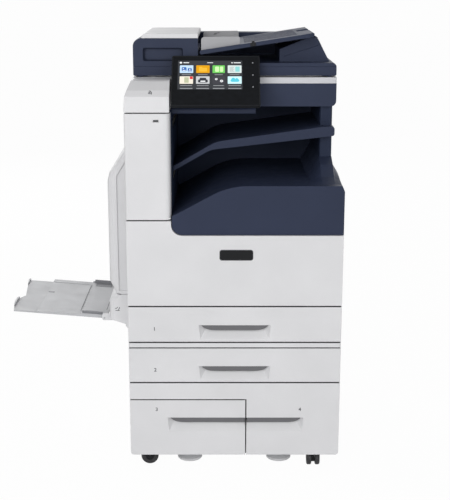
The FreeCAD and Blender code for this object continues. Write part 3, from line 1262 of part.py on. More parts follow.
def scanner():
    """The scanner's case, its white rim, the two glasses and the carriage below them."""
    case = new_body("scanner_body")
    slab(case, "XZ", "scanner_front", SCAN_BACK, [rounded([
        (SCAN_LEFT, SCAN_LOW, 6), (SCAN_RIGHT, SCAN_LOW, 14), (SCAN_RIGHT, RIM_LOW),
        (SCAN_LEFT, RIM_LOW)])])
    cut(case, "XZ", "scanner_front + scan_wall", f"{RIM_BACK} - 4", [rounded([
        (f"{SCAN_LEFT} + scan_wall", f"{SCAN_LOW} + scan_wall", 4),
        (f"{SCAN_RIGHT} - scan_wall", f"{SCAN_LOW} + scan_wall", 11),
        (f"{SCAN_RIGHT} - scan_wall", f"{RIM_LOW} + 1"),
        (f"{SCAN_LEFT} + scan_wall", f"{RIM_LOW} + 1")])])
    slab(case, "YZ", f"{SCAN_LEFT} + 3", f"{SCAN_RIGHT} - 14", [
        oblong(f"{spot} - 4", f"{spot} + 4", f"{SCAN_LOW} + scan_wall - 0.5", RAIL_TOP)
        for spot in (GLASS_FRONT, GLASS_BACK)])
    for spot in LID_HINGES:
        slab(case, "YZ", f"{spot} - 7", f"{spot} + 7", [rounded([
            (f"{LID_PIVOT_Y} - 10", f"{RIM_LOW} - 1"), (f"{LID_PIVOT_Y} + 10", f"{RIM_LOW} - 1"),
            (f"{LID_PIVOT_Y} + 10", f"{LID_PIVOT_Z} + 10", 9),
            (f"{LID_PIVOT_Y} - 10", f"{LID_PIVOT_Z} + 10", 9)])])
        slab(case, "YZ", f"{spot} - 19", f"{spot} + 19", [],
             [(LID_PIVOT_Y, LID_PIVOT_Z, "lid_pin_r")])
    rim = new_body("scanner_rim")
    slab(rim, "XY", RIM_LOW, LID_LOW, [
        oblong(SCAN_LEFT, SCAN_RIGHT, "scanner_front", RIM_BACK, 5)])
    panes = ((GLASS_LEFT, f"(-{GLASS_LEFT})"), (STRIP_LEFT, STRIP_RIGHT))
    cut(rim, "XY", f"{LID_LOW} - glass_thick", f"{LID_LOW} + 1", [
        oblong(f"{left} - fit_gap", f"{right} + fit_gap", f"{GLASS_FRONT} - fit_gap",
               f"{GLASS_BACK} + fit_gap") for left, right in panes])
    cut(rim, "XY", f"{RIM_LOW} - 1", f"{LID_LOW} - glass_thick + 1", [
        oblong(f"{left} + 4", f"{right} - 4", f"{GLASS_FRONT} + 4", f"{GLASS_BACK} - 4")
        for left, right in panes])
    place(join("Compound", [
        box(left, right, GLASS_FRONT, GLASS_BACK, f"{LID_LOW} - glass_thick", LID_LOW)
        for left, right in panes]), "platen_glass")
    carriage = new_body("scan_carriage")
    start = f"({SCAN_LEFT} + 20)"
    low, high = f"({RAIL_TOP} + fit_gap)", f"({RIM_LOW} - 4)"
    slab(carriage, "XY", low, high, [oblong(
        start, f"{start} + carriage_wide", f"{GLASS_FRONT} - 12", f"{GLASS_BACK} + 12", 4)])
    cut(carriage, "XY", f"{high} - 14", f"{high} + 1", [oblong(
        f"{start} + 20", f"{start} + 27", f"{GLASS_FRONT} + 2", f"{GLASS_BACK} - 2")])
    cut(carriage, "XY", f"{high} - 3", f"{high} + 1", [
        oblong(f"{start} + {near}", f"{start} + {near} + 6", f"{GLASS_FRONT} + 2",
               f"{GLASS_BACK} - 2") for near in (10, 31)])


# ---------------------------------------------------------------- document feeder
FEED_RIGHT = f"({SCAN_LEFT} + feeder_wide)"
FEED_BACK = "(lid_front + feeder_deep)"
FEED_TOP = f"({LID_TOP} + feeder_tall)"
COVER_TOP = f"({FEED_TOP} + feeder_top_tall)"
COVER_PIVOT_X = f"({SCAN_LEFT} + 17)"
COVER_PIVOT_Z = f"({FEED_TOP} - 10)"
DOC_LEFT = f"({FEED_RIGHT} + 5)"
DOC_FRONT = "(lid_front - 10)"
DOC_LOW = f"({LID_TOP} + doc_tray_low)"
DOC_PIVOT_X = f"({SCAN_RIGHT} - 50)"
DOC_PIVOT_Z = f"({LID_TOP} + hump_tall - 9)"
HUMP_FRONT = "(lid_front + 52)"
HUMP_BACK = f"({FEED_BACK} - 10)"
FEED_ROLLER_X = f"({FEED_RIGHT} - 30)"
FEED_ROLLER_Z = f"({FEED_TOP} - 16)"
COVER_LUGS = (("lid_front + 22", "lid_front + 34"), (f"{FEED_BACK} - 44", f"{FEED_BACK} - 32"))
DOC_LUGS = ((f"{HUMP_FRONT} + 20", f"{HUMP_FRONT} + 32"),
            (f"{HUMP_BACK} - 62", f"{HUMP_BACK} - 50"))


def feeder_base():
    """The lid: a flat base, the feeding unit at its left and the hump at its right."""
    lid = new_body("adf_base")
    back = f"({RIM_BACK} - 5)"
    slab(lid, "XZ", "lid_front", back, [rounded([
        (SCAN_LEFT, LID_BASE, 3), (SCAN_RIGHT, LID_BASE, 3), (SCAN_RIGHT, LID_TOP, 10),
        (SCAN_LEFT, LID_TOP)])])
    slab(lid, "XZ", "lid_front", FEED_BACK, [rounded([
        (SCAN_LEFT, f"{LID_TOP} - 8"), (FEED_RIGHT, f"{LID_TOP} - 8"), (FEED_RIGHT, FEED_TOP, 2),
        (SCAN_LEFT, FEED_TOP, 20)])])
    crest = f"({LID_TOP} + hump_tall)"
    hump_left = f"({SCAN_RIGHT} - hump_wide)"
    slab(lid, "XZ", HUMP_FRONT, HUMP_BACK, [rounded([
        (hump_left, f"{LID_TOP} - 2"), (f"{SCAN_RIGHT} - 10", f"{LID_TOP} - 2"),
        (f"{SCAN_RIGHT} - 15", f"{LID_TOP} + 2", 5), (f"{SCAN_RIGHT} - 32", f"{crest} - 28", 30),
        (f"{SCAN_RIGHT} - 44", f"{crest} - 4", 9), (f"{SCAN_RIGHT} - 66", crest, 12),
        (hump_left, f"{crest} - 31")])])
    slab(lid, "XZ", f"{HUMP_BACK} - 1", f"{HUMP_BACK} + rear_housing_deep", [rounded([
        (SCAN_LEFT, f"{LID_TOP} - 8"), (f"{SCAN_RIGHT} - 11", f"{LID_TOP} - 8"),
        (f"{SCAN_RIGHT} - 17", f"{LID_TOP} + 2", 5), (f"{SCAN_RIGHT} - 34", f"{crest} - 28", 30),
        (f"{SCAN_RIGHT} - 50", f"{FEED_TOP} - 3", 12), (SCAN_LEFT, FEED_TOP, 20)])])
    cut(lid, "YZ", SCAN_LEFT + " - 1", SCAN_RIGHT + " + 1", [[
        (f"{HUMP_BACK} + rear_housing_deep - 16", f"{FEED_TOP} + 1"),
        (f"{HUMP_BACK} + rear_housing_deep + 1", f"{FEED_TOP} - 20"),
        (f"{HUMP_BACK} + rear_housing_deep + 1", f"{FEED_TOP} + 1")]])
    cut(lid, "XZ", f"{HUMP_FRONT} - 1", f"{HUMP_FRONT} + 2", [[
        (f"{hump_left} + 13", f"{LID_TOP} + 12"), (f"{hump_left} + 101", f"{LID_TOP} + 41"),
        (f"{hump_left} + 100", f"{LID_TOP} + 43"), (f"{hump_left} + 12", f"{LID_TOP} + 14")]])
    cut(lid, "XZ", "lid_front - 1", "lid_front + 1.2", [oblong(
        f"{SCAN_LEFT} - 1", f"{SCAN_RIGHT} + 1", f"{LID_TOP} - 9.5", f"{LID_TOP} - 8")])
    cut(lid, "XZ", "lid_front - 1", "lid_front + 12", [oblong(
        f"{SCAN_LEFT} + 25", f"{SCAN_LEFT} + 126", f"{LID_TOP} + 5", f"{LID_TOP} + 38", 5)])
    cut(lid, "XZ", "lid_front + 16", f"{FEED_BACK} - 14", [rounded([
        (f"{SCAN_LEFT} + 30", f"{LID_TOP} + 3", 8), (f"{FEED_RIGHT} - 8", f"{LID_TOP} + 3"),
        (f"{FEED_RIGHT} - 8", f"{FEED_TOP} + 1"), (f"{SCAN_LEFT} + 30", f"{FEED_TOP} + 1")])])
    cut(lid, "YZ", f"{FEED_RIGHT} - 9", f"{FEED_RIGHT} + 1", [
        oblong("lid_front + 17", f"{FEED_BACK} - 15", f"{LID_TOP} + doc_tray_low + 9",
               f"{FEED_TOP} + 1"),
        oblong("lid_front + 17", f"{FEED_BACK} - 15", f"{LID_TOP} + 3.5", f"{LID_TOP} + 14")])
    cut(lid, "XZ", "lid_front + 12.7", f"{FEED_BACK} - 10.7", [],
        [(FEED_ROLLER_X, FEED_ROLLER_Z, "shaft_r + pin_play")])
    cut(lid, "XY", f"{LID_BASE} - 1", f"{LID_BASE} + 8", [
        oblong(STRIP_LEFT, STRIP_RIGHT, GLASS_FRONT, GLASS_BACK, 2)])
    for low, high in COVER_LUGS:
        cut(lid, "XZ", low, high, [rounded([
            (f"{SCAN_LEFT} + 8", f"{FEED_TOP} - 20", 6), (f"{SCAN_LEFT} + 31", f"{FEED_TOP} - 20"),
            (f"{SCAN_LEFT} + 31", f"{FEED_TOP} + 1"), (f"{SCAN_LEFT} + 8", f"{FEED_TOP} + 1")])])
        slab(lid, "XZ", f"{low} - 1", f"{high} + 1", [],
             [(COVER_PIVOT_X, COVER_PIVOT_Z, "feeder_cover_pin_r")])
    for low, high in DOC_LUGS:
        cut(lid, "XZ", low, high, [rounded([
            (f"{DOC_PIVOT_X} - 34", f"{DOC_PIVOT_Z} - 12"), (f"{DOC_PIVOT_X} + 11",
             f"{DOC_PIVOT_Z} - 12", 6), (f"{DOC_PIVOT_X} + 11", f"{crest} + 1"),
            (f"{DOC_PIVOT_X} - 34", f"{crest} + 1")])])
        slab(lid, "XZ", f"{low} - 1", f"{high} + 1", [],
             [(DOC_PIVOT_X, DOC_PIVOT_Z, "doc_pin_r")])
    for spot in LID_HINGES:
        for near, far in (("- 18.5", "- 7.3"), ("+ 7.3", "+ 18.5")):
            slab(lid, "YZ", f"{spot} {near}", f"{spot} {far}", [rounded([
                (f"{back} - 2", f"{LID_BASE} + 1"), (f"{LID_PIVOT_Y} + 10", f"{LID_BASE} + 1", 9),
                (f"{LID_PIVOT_Y} + 10", f"{LID_PIVOT_Z} + 10", 9),
                (f"{back} - 2", f"{LID_PIVOT_Z} + 10")])])
            cut(lid, "YZ", f"{spot} {near} - 1", f"{spot} {far} + 1", [],
                [(LID_PIVOT_Y, LID_PIVOT_Z, "lid_pin_r + pin_play")])
    slab(lid, "XY", f"{LID_LOW} + fit_gap", f"{LID_BASE} + 1", [], [
        (f"{side} * ({SCAN_RIGHT} - 17)", depth, "6") for side in (-1, 1)
        for depth in ("lid_front + 9", f"{back} - 10")])
    place(join("Compound", [box(
        f"{GLASS_LEFT} - 5", f"5 - {GLASS_LEFT}", f"{GLASS_FRONT} - 3", f"{GLASS_BACK} + 3",
        f"{LID_LOW} + fit_gap", LID_BASE)]), "platen_pad")


def feeder_cover():
    """The white cover over the feed rollers, hinged along its left edge."""
    cover = new_body("adf_top_cover")
    left = f"({COVER_PIVOT_X} + 5)"
    low = f"({FEED_TOP} + fit_gap)"
    slab(cover, "XZ", "lid_front + 0.5", f"{FEED_BACK} - 8", [rounded([
        (left, low), (FEED_RIGHT, low), (FEED_RIGHT, COVER_TOP, 4), (left, COVER_TOP, 9)])])
    cut(cover, "XZ", "lid_front + 4", f"{FEED_BACK} - 12", [[
        (f"{left} + 26", f"{low} - 1"), (f"{FEED_RIGHT} - 4", f"{low} - 1"),
        (f"{FEED_RIGHT} - 4", f"{low} + 5"), (f"{left} + 26", f"{low} + 5")]])
    for near, far in COVER_LUGS:
        slab(cover, "XZ", f"{near} + fit_gap", f"{far} - fit_gap", [rounded([
            (f"{COVER_PIVOT_X} - 6", f"{COVER_PIVOT_Z} - 6", 5),
            (f"{COVER_PIVOT_X} + 7", f"{COVER_PIVOT_Z} - 6", 4), (f"{left} + 10", f"{low} + 1"),
            (f"{left} + 1", f"{low} + 1"), (f"{left} - 1", f"{FEED_TOP} - 3"),
            (f"{COVER_PIVOT_X} - 6", f"{COVER_PIVOT_Z} + 6", 5)])])
        cut(cover, "XZ", near, far, [],
            [(COVER_PIVOT_X, COVER_PIVOT_Z, "feeder_cover_pin_r + pin_play")])
    rollers = new_body("adf_rollers")
    slab(rollers, "XZ", "lid_front + 13", f"{FEED_BACK} - 11", [],
         [(FEED_ROLLER_X, FEED_ROLLER_Z, "shaft_r")])
    for step in range(3):
        spot = f"lid_front + feed_roller_start + {step} * feed_roller_pitch"
        slab(rollers, "XZ", spot, f"{spot} + feed_roller_wide", [],
             [(FEED_ROLLER_X, FEED_ROLLER_Z, "feed_roller_r")])


def doc_line(along, up):
    """A point of the document tray's section: along it from its left end, and up."""
    slope = "(doc_tray_rise / doc_tray_long)"
    return (f"{DOC_LEFT} + ({along})", f"{DOC_LOW} + ({along}) * {slope} + ({up})")


def document_tray():
    """The sloping document tray and its pair of sheet guides."""
    tray = new_body("document_tray")
    near, far = DOC_FRONT, f"({DOC_FRONT} + feeder_deep - doc_tray_in)"
    slab(tray, "XZ", near, far, [rounded([
        doc_line("0", "0") + (4,), doc_line("doc_tray_long", "0") + (3,),
        doc_line("doc_tray_long", "doc_tray_thick") + (4,),
        doc_line("0", "doc_tray_thick") + (3,)])])
    low, high = DOC_LOW, f"({DOC_LOW} + doc_tray_rise + 20)"
    right = f"({DOC_LEFT} + doc_tray_long)"
    cut(tray, "XY", f"{low} - 2", high, [
        [(f"{right} - 14", f"{near} - 1"), (f"{right} + 1", f"{near} - 1"),
         (f"{right} + 1", f"{near} + 14")],
        rounded([(f"{right} - 34", f"{near} + 176"), (f"{right} + 1", f"{near} + 168"),
                 (f"{right} + 1", f"{near} + 232"), (f"{right} - 34", f"{near} + 224")])])
    for bottom, top in DOC_LUGS:
        slab(tray, "XZ", f"{bottom} + fit_gap", f"{top} - fit_gap", [rounded([
            (f"{DOC_PIVOT_X} - 7", f"{DOC_PIVOT_Z} - 6", 5),
            (f"{DOC_PIVOT_X} + 7", f"{DOC_PIVOT_Z} - 6", 6),
            (f"{DOC_PIVOT_X} + 7", f"{DOC_PIVOT_Z} + 7", 6), doc_line("doc_tray_long - 4", "5"),
            doc_line("doc_tray_long - 26", "1")])])
        cut(tray, "XZ", bottom, top, [], [(DOC_PIVOT_X, DOC_PIVOT_Z, "doc_pin_r + pin_play")])
    middle = f"({DOC_FRONT} + doc_guide_middle)"
    for name, sign in (("front", -1), ("rear", 1)):
        guide = new_body(f"document_guide_{name}")
        face = f"{middle} + {sign} * sheet_short / 2"
        back = f"{face} + {sign} * 4"
        toe = f"{face} - {sign} * doc_guide_toe"
        top = f"{DOC_LOW} + doc_tray_thick + doc_guide_tall"
        fence = rounded([
            doc_line("3", "doc_tray_thick"), doc_line("doc_guide_long", "doc_tray_thick"),
            (f"{DOC_LEFT} + doc_guide_long", f"{top} + 1", 5), (f"{DOC_LEFT} + 3", top, 8)])
        low_y, high_y = (back, face) if sign < 0 else (face, back)
        slab(guide, "XZ", low_y, high_y, [fence])
        low_y, high_y = (back, toe) if sign < 0 else (toe, back)
        slab(guide, "XZ", low_y, high_y, [[
            doc_line("14", "doc_tray_thick"), doc_line("doc_guide_long - 14", "doc_tray_thick"),
            doc_line("doc_guide_long - 14", "doc_tray_thick + 2.5"),
            doc_line("14", "doc_tray_thick + 2.5")]])


# ---------------------------------------------------------------- control panel
PANEL_LEFT = f"({BAY_LEFT} + 0.6)"
PANEL_RIGHT = f"({PANEL_LEFT} + panel_wide)"
PANEL_MIDDLE = f"({PANEL_LEFT} + panel_wide / 2)"
PANEL_LOW = f"({SCAN_LOW} + panel_up)"
BEAM_LOW = f"({SCAN_LOW} - 12)"


def on_panel(up, depth):
    """A point of the panel's section: up its face, and in behind it."""
    return (f"panel_front + ({up}) * cos(panel_tilt) + ({depth}) * sin(panel_tilt)",
            f"{PANEL_LOW} + ({up}) * sin(panel_tilt) - ({depth}) * cos(panel_tilt)")


def face_sketch(body, depth, outline):
    """An outline drawn on a plane parallel to the panel's face, in behind it."""
    drawing = sketch(body, "XY", "0", [outline])
    tilt = FreeCAD.Rotation(FreeCAD.Vector(1, 0, 0), size("panel_tilt"))
    drawing.AttachmentOffset = FreeCAD.Placement(FreeCAD.Vector(0, 0, 0), tilt)
    back, up = on_panel("0", depth)
    drawing.setExpression(".AttachmentOffset.Rotation.Angle", bound("panel_tilt"))
    drawing.setExpression(".AttachmentOffset.Base.y", bound(back))
    drawing.setExpression(".AttachmentOffset.Base.z", bound(up))
    return drawing


def face_step(body, kind, depth, thick, outline):
    """Pad, or pocket, from a depth behind the face toward the face."""
    feature = body.newObject(f"PartDesign::{kind}", "step")
    feature.Profile = face_sketch(body, depth, outline)
    feature.Reversed = kind == "Pocket"
    feature.setExpression("Length", bound(thick))
    return feature


def face_outline(inset, radius):
    return oblong(f"{PANEL_LEFT} + {inset}", f"{PANEL_RIGHT} - ({inset})", inset,
                  f"panel_slant - ({inset})", radius)


def control_panel():
    """The tilting panel, its glass, and the neck that holds it off the scanner."""
    housing = new_body("panel_housing")
    face_step(housing, "Pad", "panel_edge", "panel_edge", face_outline("0", 5))
    shell = housing.newObject("PartDesign::AdditiveLoft", "shell")
    shell.Profile = face_sketch(housing, "panel_thick", face_outline("30", 6))
    shell.Sections = [face_sketch(housing, "panel_edge - 0.5", face_outline("8", 6))]
    shell.Ruled = True
    face_step(housing, "Pocket", "panel_glass_thick", "panel_glass_thick + 1",
              face_outline("3", 3))
    pivot = on_panel("panel_pivot_up", "panel_pivot_in")
    for near, far in ((-62.7, -50), (50, 62.7)):
        slab(housing, "YZ", f"{PANEL_MIDDLE} + {near}", f"{PANEL_MIDDLE} + {far}", [rounded([
            on_panel("panel_pivot_up - 15", "panel_thick - 2"),
            on_panel("panel_pivot_up - 8", "panel_pivot_in + 8") + (6,),
            on_panel("panel_pivot_up + 8", "panel_pivot_in + 8") + (6,),
            on_panel("panel_pivot_up + 15", "panel_thick - 2")])])
        cut(housing, "YZ", f"{PANEL_MIDDLE} + {near} - 1", f"{PANEL_MIDDLE} + {far} + 1", [],
            [(*pivot, "panel_pin_r + pin_play")])
    glass = new_body("panel_glass")
    face_step(glass, "Pad", "panel_glass_thick - 0.1", "panel_glass_thick - 0.1",
              face_outline("3 + fit_gap", 3))
    neck = new_body("panel_neck")
    back = "(scanner_front - 0.1)"
    slab(neck, "YZ", f"{BAY_LEFT} + 0.1", f"{PANEL_RIGHT} - 10", [rounded([
        (back, BEAM_LOW), (back, f"{SCAN_LOW} + 3"), (f"{back} - 55", f"{SCAN_LOW} + 3", 6),
        (f"{back} - 55", BEAM_LOW, 3)])])
    for near, far in ((-77, -63), (63, 77)):
        slab(neck, "YZ", f"{PANEL_MIDDLE} + {near}", f"{PANEL_MIDDLE} + {far}", [rounded([
            (back, f"{BEAM_LOW} + 1"), (back, f"{RIM_LOW} - 5"),
            (f"{pivot[0]} + 3", f"{pivot[1]} + 9.5", 8),
            (f"{pivot[0]} - 9", f"{pivot[1]} + 5", 5), (f"{pivot[0]} - 9", f"{pivot[1]} - 9", 8),
            (f"{back} - 50", f"{SCAN_LOW} + 3", 8), (f"{back} - 50", f"{BEAM_LOW} + 1")])])
    for near, far in ((-64, -51), (51, 64)):
        slab(neck, "YZ", f"{PANEL_MIDDLE} + {near}", f"{PANEL_MIDDLE} + {far}", [],
             [(*pivot, "panel_pin_r")])


# ---------------------------------------------------------------- mains inlet
def power_inlet():
    """The three-pin mains inlet in the rear cover."""
    body = new_body("power_inlet")
    left, right = INLET_LEFT, INLET_RIGHT
    low, high = INLET_LOW, INLET_HIGH
    slab(body, "XZ", f"{BACK} - 26", f"{BACK} + 0.2", [oblong(
        f"{left} + fit_gap", f"{right} - fit_gap", f"{low} + fit_gap", f"{high} - fit_gap", 3)])
    slab(body, "XZ", f"{BACK} + 0.1", f"{BACK} + 2.6", [oblong(
        f"{left} - 4", f"{right} + 4", f"{low} - 4", f"{high} + 4", 4)])
    cut(body, "XZ", f"{BACK} - 16", f"{BACK} + 3", [oblong(
        f"{left} + 6", f"{right} - 6", f"{low} + 5", f"{high} - 5", 4)])
    middle_x, middle_z = f"({left} + {right}) / 2", f"({low} + {high}) / 2"
    slab(body, "XZ", f"{BACK} - 17", f"{BACK} - 4", [
        oblong(f"{middle_x} + {side} - 1", f"{middle_x} + {side} + 1",
               f"{middle_z} + {up} - 2", f"{middle_z} + {up} + 2")
        for side, up in ((-7, -2), (7, -2), (0, 2.5))])


# ---------------------------------------------------------------- assembly
drawer_module()
castors()
drawers()
main_base()
main_frame()
main_covers()
front_door()
inner_cover()
toner_bay()
exit_tray()
upper_exit_tray()
exit_bay_walls()
exit_rollers()
tower_covers()
side_door()
bypass()
scanner()
feeder_base()
feeder_cover()
document_tray()
control_panel()
power_inlet()
doc.recompute()

overall = FreeCAD.BoundBox()
for piece in pieces:
    overall.add(piece.Shape.BoundBox)
rows = {alias: row for row, alias in enumerate(SIZES, start=1)}
sheet.set(f"B{rows['origin_side']}", str(-overall.Center.x))
sheet.set(f"B{rows['origin_back']}", str(-overall.Center.y))
doc.recompute()

for item in doc.Objects:
    if "Invalid" in item.State or "Error" in item.State:
        raise RuntimeError(f"{item.Label} did not build: {item.State}")
for piece in pieces:
    if piece.Shape.isNull() or not piece.Shape.isValid():
        raise RuntimeError(f"{piece.Label} has no valid shape")

os.makedirs("parts", exist_ok=True)
for piece in pieces:
    piece.Shape.exportStep(f"parts/{piece.Label}.step")
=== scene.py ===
import json
import math
from collections import namedtuple

import bmesh
import bpy
from mathutils import Matrix, Vector
from mathutils.bvhtree import BVHTree

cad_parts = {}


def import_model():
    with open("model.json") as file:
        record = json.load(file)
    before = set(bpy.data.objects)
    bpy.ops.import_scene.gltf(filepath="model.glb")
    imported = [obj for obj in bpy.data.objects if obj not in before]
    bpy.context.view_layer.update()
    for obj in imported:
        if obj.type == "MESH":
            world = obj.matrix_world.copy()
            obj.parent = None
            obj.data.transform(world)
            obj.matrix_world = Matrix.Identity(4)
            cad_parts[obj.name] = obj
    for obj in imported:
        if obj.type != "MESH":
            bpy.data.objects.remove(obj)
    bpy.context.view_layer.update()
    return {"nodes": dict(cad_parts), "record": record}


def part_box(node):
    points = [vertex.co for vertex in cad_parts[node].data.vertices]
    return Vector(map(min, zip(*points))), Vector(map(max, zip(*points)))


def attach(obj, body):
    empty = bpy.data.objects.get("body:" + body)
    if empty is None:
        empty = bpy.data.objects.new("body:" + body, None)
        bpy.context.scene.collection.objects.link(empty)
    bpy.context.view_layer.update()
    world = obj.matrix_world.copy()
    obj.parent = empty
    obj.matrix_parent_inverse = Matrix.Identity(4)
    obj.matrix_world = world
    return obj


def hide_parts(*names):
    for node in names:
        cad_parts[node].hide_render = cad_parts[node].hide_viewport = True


# The looks of a floor-standing colour photocopier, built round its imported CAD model.
# +X is the user's right, +Y goes away from the user, and +Z is up.  Points in space are in
# metres, as in Blender.  Outlines, profiles and depths, and the features of a material, are in
# millimetres.

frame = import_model()
nodes = frame["nodes"]

MM = 0.001
RIGHT = Vector((1, 0, 0))
BACK = Vector((0, 1, 0))
UP = Vector((0, 0, 1))

# The share of the floor that reads plain white where it is seen.  The rest shows the shadow.
FLOOR_WHITE = 0.97
# How bright the sky is where it is seen, and how bright as a light.
SKY_SEEN = 0.983
SKY_LIGHT = 0.36


# ------------------------------------------------------------------ materials
def srgb(red, green, blue):
    """A colour given as screen values from 0 to 255, in linear light."""
    def linear(value):
        value /= 255
        return value / 12.92 if value <= 0.04045 else ((value + 0.055) / 1.055) ** 2.4
    return (linear(red), linear(green), linear(blue), 1.0)


def grey(level):
    """A grey given in linear light."""
    return (level, level, level, 1.0)


def shaded(colour, amount):
    return tuple(min(1.0, channel * amount) for channel in colour[:3]) + (1.0,)


class Nodes:
    """A node tree under construction."""

    def __init__(self, tree):
        self.tree = tree

    def feed(self, socket, given):
        """Give an input what it takes, which is a constant or another node's output."""
        if isinstance(given, bpy.types.NodeSocket):
            self.tree.links.new(given, socket)
        else:
            socket.default_value = given

    def add(self, kind, inputs=None, **settings):
        """The outputs of a new node, made with its settings and its inputs."""
        item = self.tree.nodes.new(kind)
        for name, value in settings.items():
            setattr(item, name, value)
        for name, given in (inputs or {}).items():
            self.feed(item.inputs[name], given)
        return item.outputs

    def calculate(self, operation, *given):
        """The result of a math node on constants and outputs."""
        return self.add("ShaderNodeMath", dict(enumerate(given)), operation=operation)["Value"]

    def spread(self, value, low, high, start=0.3, end=0.7):
        """Map the range from start to end to the one from low to high."""
        return self.add("ShaderNodeMapRange", {
            "Value": value, "From Min": start, "From Max": end, "To Min": low,
            "To Max": high})["Result"]

    def seen_directly(self):
        """One for camera, mirror and glass rays, and zero for light that falls on things."""
        path = self.add("ShaderNodeLightPath")
        seen = self.calculate("MAXIMUM", path["Is Camera Ray"], path["Is Glossy Ray"])
        return self.calculate("MAXIMUM", seen, path["Is Transmission Ray"])


class Finish(Nodes):
    """A procedural material under construction."""

    def __init__(self, name, colour, roughness):
        self.material = bpy.data.materials.new(name)
        self.material.use_nodes = True
        self.material.diffuse_color = colour
        super().__init__(self.material.node_tree)
        self.shader = self.tree.nodes["Principled BSDF"]
        self.shader.inputs["Base Color"].default_value = colour
        self.shader.inputs["Roughness"].default_value = roughness
        spot = self.add("ShaderNodeTexCoord")
        self.place = spot["Object"]
        self.facing = spot["Normal"]
        self.normal = None

    def noise(self, size, detail=2.0, stretch=(1, 1, 1)):
        """A noise whose features are about the given size."""
        place = self.add("ShaderNodeMapping", {"Vector": self.place, "Scale": stretch})
        return self.add("ShaderNodeTexNoise", {
            "Vector": place["Vector"], "Scale": 1 / (size * MM), "Detail": detail})["Fac"]

    def mix(self, factor, first, second):
        """Blend two colours, each a constant or an output."""
        first_colour, second_colour, result_colour = 6, 7, 2
        return self.add("ShaderNodeMix", {
            "Factor": factor, first_colour: first, second_colour: second},
            data_type="RGBA")[result_colour]

    def zone(self, low, high):
        """One on the upward faces inside a box between two corners, and zero elsewhere."""
        upward = (0.7, 1.1)    # the least and most of a normal's height
        place = self.add("ShaderNodeSeparateXYZ", {0: self.place})
        facing = self.add("ShaderNodeSeparateXYZ", {0: self.facing})
        limits = [(place[axis], low[axis], high[axis]) for axis in range(3)]
        limits.append((facing["Z"], *upward))
        inside = 1.0
        for value, least, most in limits:
            within = self.calculate("COMPARE", value, (least + most) / 2, (most - least) / 2)
            inside = self.calculate("MULTIPLY", inside, within)
        return inside

    def soften(self, radius):
        """Round the look of every sharp edge, and return how near an edge a point is.

        A point is near an edge where its rounded normal leaves that of its flat face.
        """
        on_edge, on_face = 0.72, 0.99
        self.normal = self.add("ShaderNodeBevel", {"Radius": radius * MM}, samples=6)["Normal"]
        face = self.add("ShaderNodeNewGeometry")["Normal"]
        agreement = self.add("ShaderNodeVectorMath", {0: self.normal, 1: face},
                             operation="DOT_PRODUCT")["Value"]
        return self.spread(agreement, 1.0, 0.0, on_edge, on_face)

    def bump(self, height, depth, strength=1.0):
        """Raise the surface by a height map, on top of what the normal already is."""
        inputs = {"Height": height, "Distance": depth * MM, "Strength": strength}
        if self.normal is not None:
            inputs["Normal"] = self.normal
        self.normal = self.add("ShaderNodeBump", inputs)["Normal"]

    def finish(self, colour, roughness, **constants):
        """The material, once what was made is on the shader with its constant inputs."""
        inputs = {"Base Color": colour, "Roughness": roughness}
        if self.normal is not None:
            inputs["Normal"] = self.normal
        for name, value in constants.items():
            inputs[name.replace("_", " ")] = value
        for name, given in inputs.items():
            self.feed(self.shader.inputs[name], given)
        return self.material


def moulded(name, colour, roughness, grain=0.7, edge=0.8, rub=1.12, tint=0.035, inlay=None,
            **constants):
    """Spark-eroded plastic: a fine grain, uneven gloss, faint mottling and rubbed edges.

    Grain is the size of the surface's bumps, edge the radius of its edges, rub how much paler
    a rubbed edge is, and tint how far the colour wanders.  An inlay is a colour and the two
    corners of the box whose upward faces have it.
    """
    made = Finish(name, colour, roughness)
    near_edge = made.soften(edge)
    mottle = made.spread(made.noise(160, 3.0), 0, 1)
    body = made.mix(mottle, shaded(colour, 1 - tint), shaded(colour, 1 + tint))
    speck = made.spread(made.noise(2.2, 4.0), 0, 0.5, 0.52, 0.8)
    body = made.mix(speck, body, shaded(colour, 1 - 2 * tint))
    scuffs = made.spread(made.noise(9, 5.0), 0.15, 0.85)
    rubbed = made.calculate("MULTIPLY", near_edge, scuffs)
    body = made.mix(rubbed, body, shaded(colour, rub))
    if inlay:
        inlay_colour, low, high = inlay
        body = made.mix(made.zone(low, high), body, inlay_colour)
    made.bump(made.noise(grain), 0.02)
    gloss = made.spread(made.noise(30, 4.0), 0.88 * roughness, 1.12 * roughness)
    return made.finish(body, gloss, **constants)


def metal(name, colour, roughness, spangle=6):
    """Zinc-coated or turned steel, with a cloudy sheen and fine drawing lines."""
    made = Finish(name, colour, roughness)
    made.soften(0.4)
    cloud = made.noise(spangle, 3.0)
    body = made.mix(made.spread(cloud, 0, 1), shaded(colour, 0.9), shaded(colour, 1.08))
    made.bump(made.noise(0.5, stretch=(1, 1, 14)), 0.01)
    gloss = made.spread(cloud, 0.8 * roughness, 1.25 * roughness)
    return made.finish(body, gloss, Metallic=1.0)


def ink(name, colour):
    """A pad-printed mark: slightly uneven, and less glossy than what it lies on."""
    made = Finish(name, colour, 0.6)
    patch = made.spread(made.noise(0.9, 3.0), 0, 1)
    body = made.mix(patch, shaded(colour, 0.92), shaded(colour, 1.08))
    made.bump(made.noise(0.3), 0.005)
    return made.finish(body, made.spread(made.noise(1.6), 0.5, 0.7))


def lit(name, colour):
    """A lit patch of the display: an even glow behind a fine pixel grid."""
    made = Finish(name, colour, 0.25)
    grid = made.spread(made.noise(0.5, 1.0), 0, 1)
    glow = made.mix(grid, shaded(colour, 0.94), shaded(colour, 1.04))
    body = made.mix(grid, shaded(colour, 0.2), shaded(colour, 0.24))
    made.bump(made.noise(0.4), 0.002)
    return made.finish(body, made.spread(made.noise(3), 0.3, 0.4), Emission_Color=glow,
                       Emission_Strength=1.0, Specular_IOR_Level=0.05)


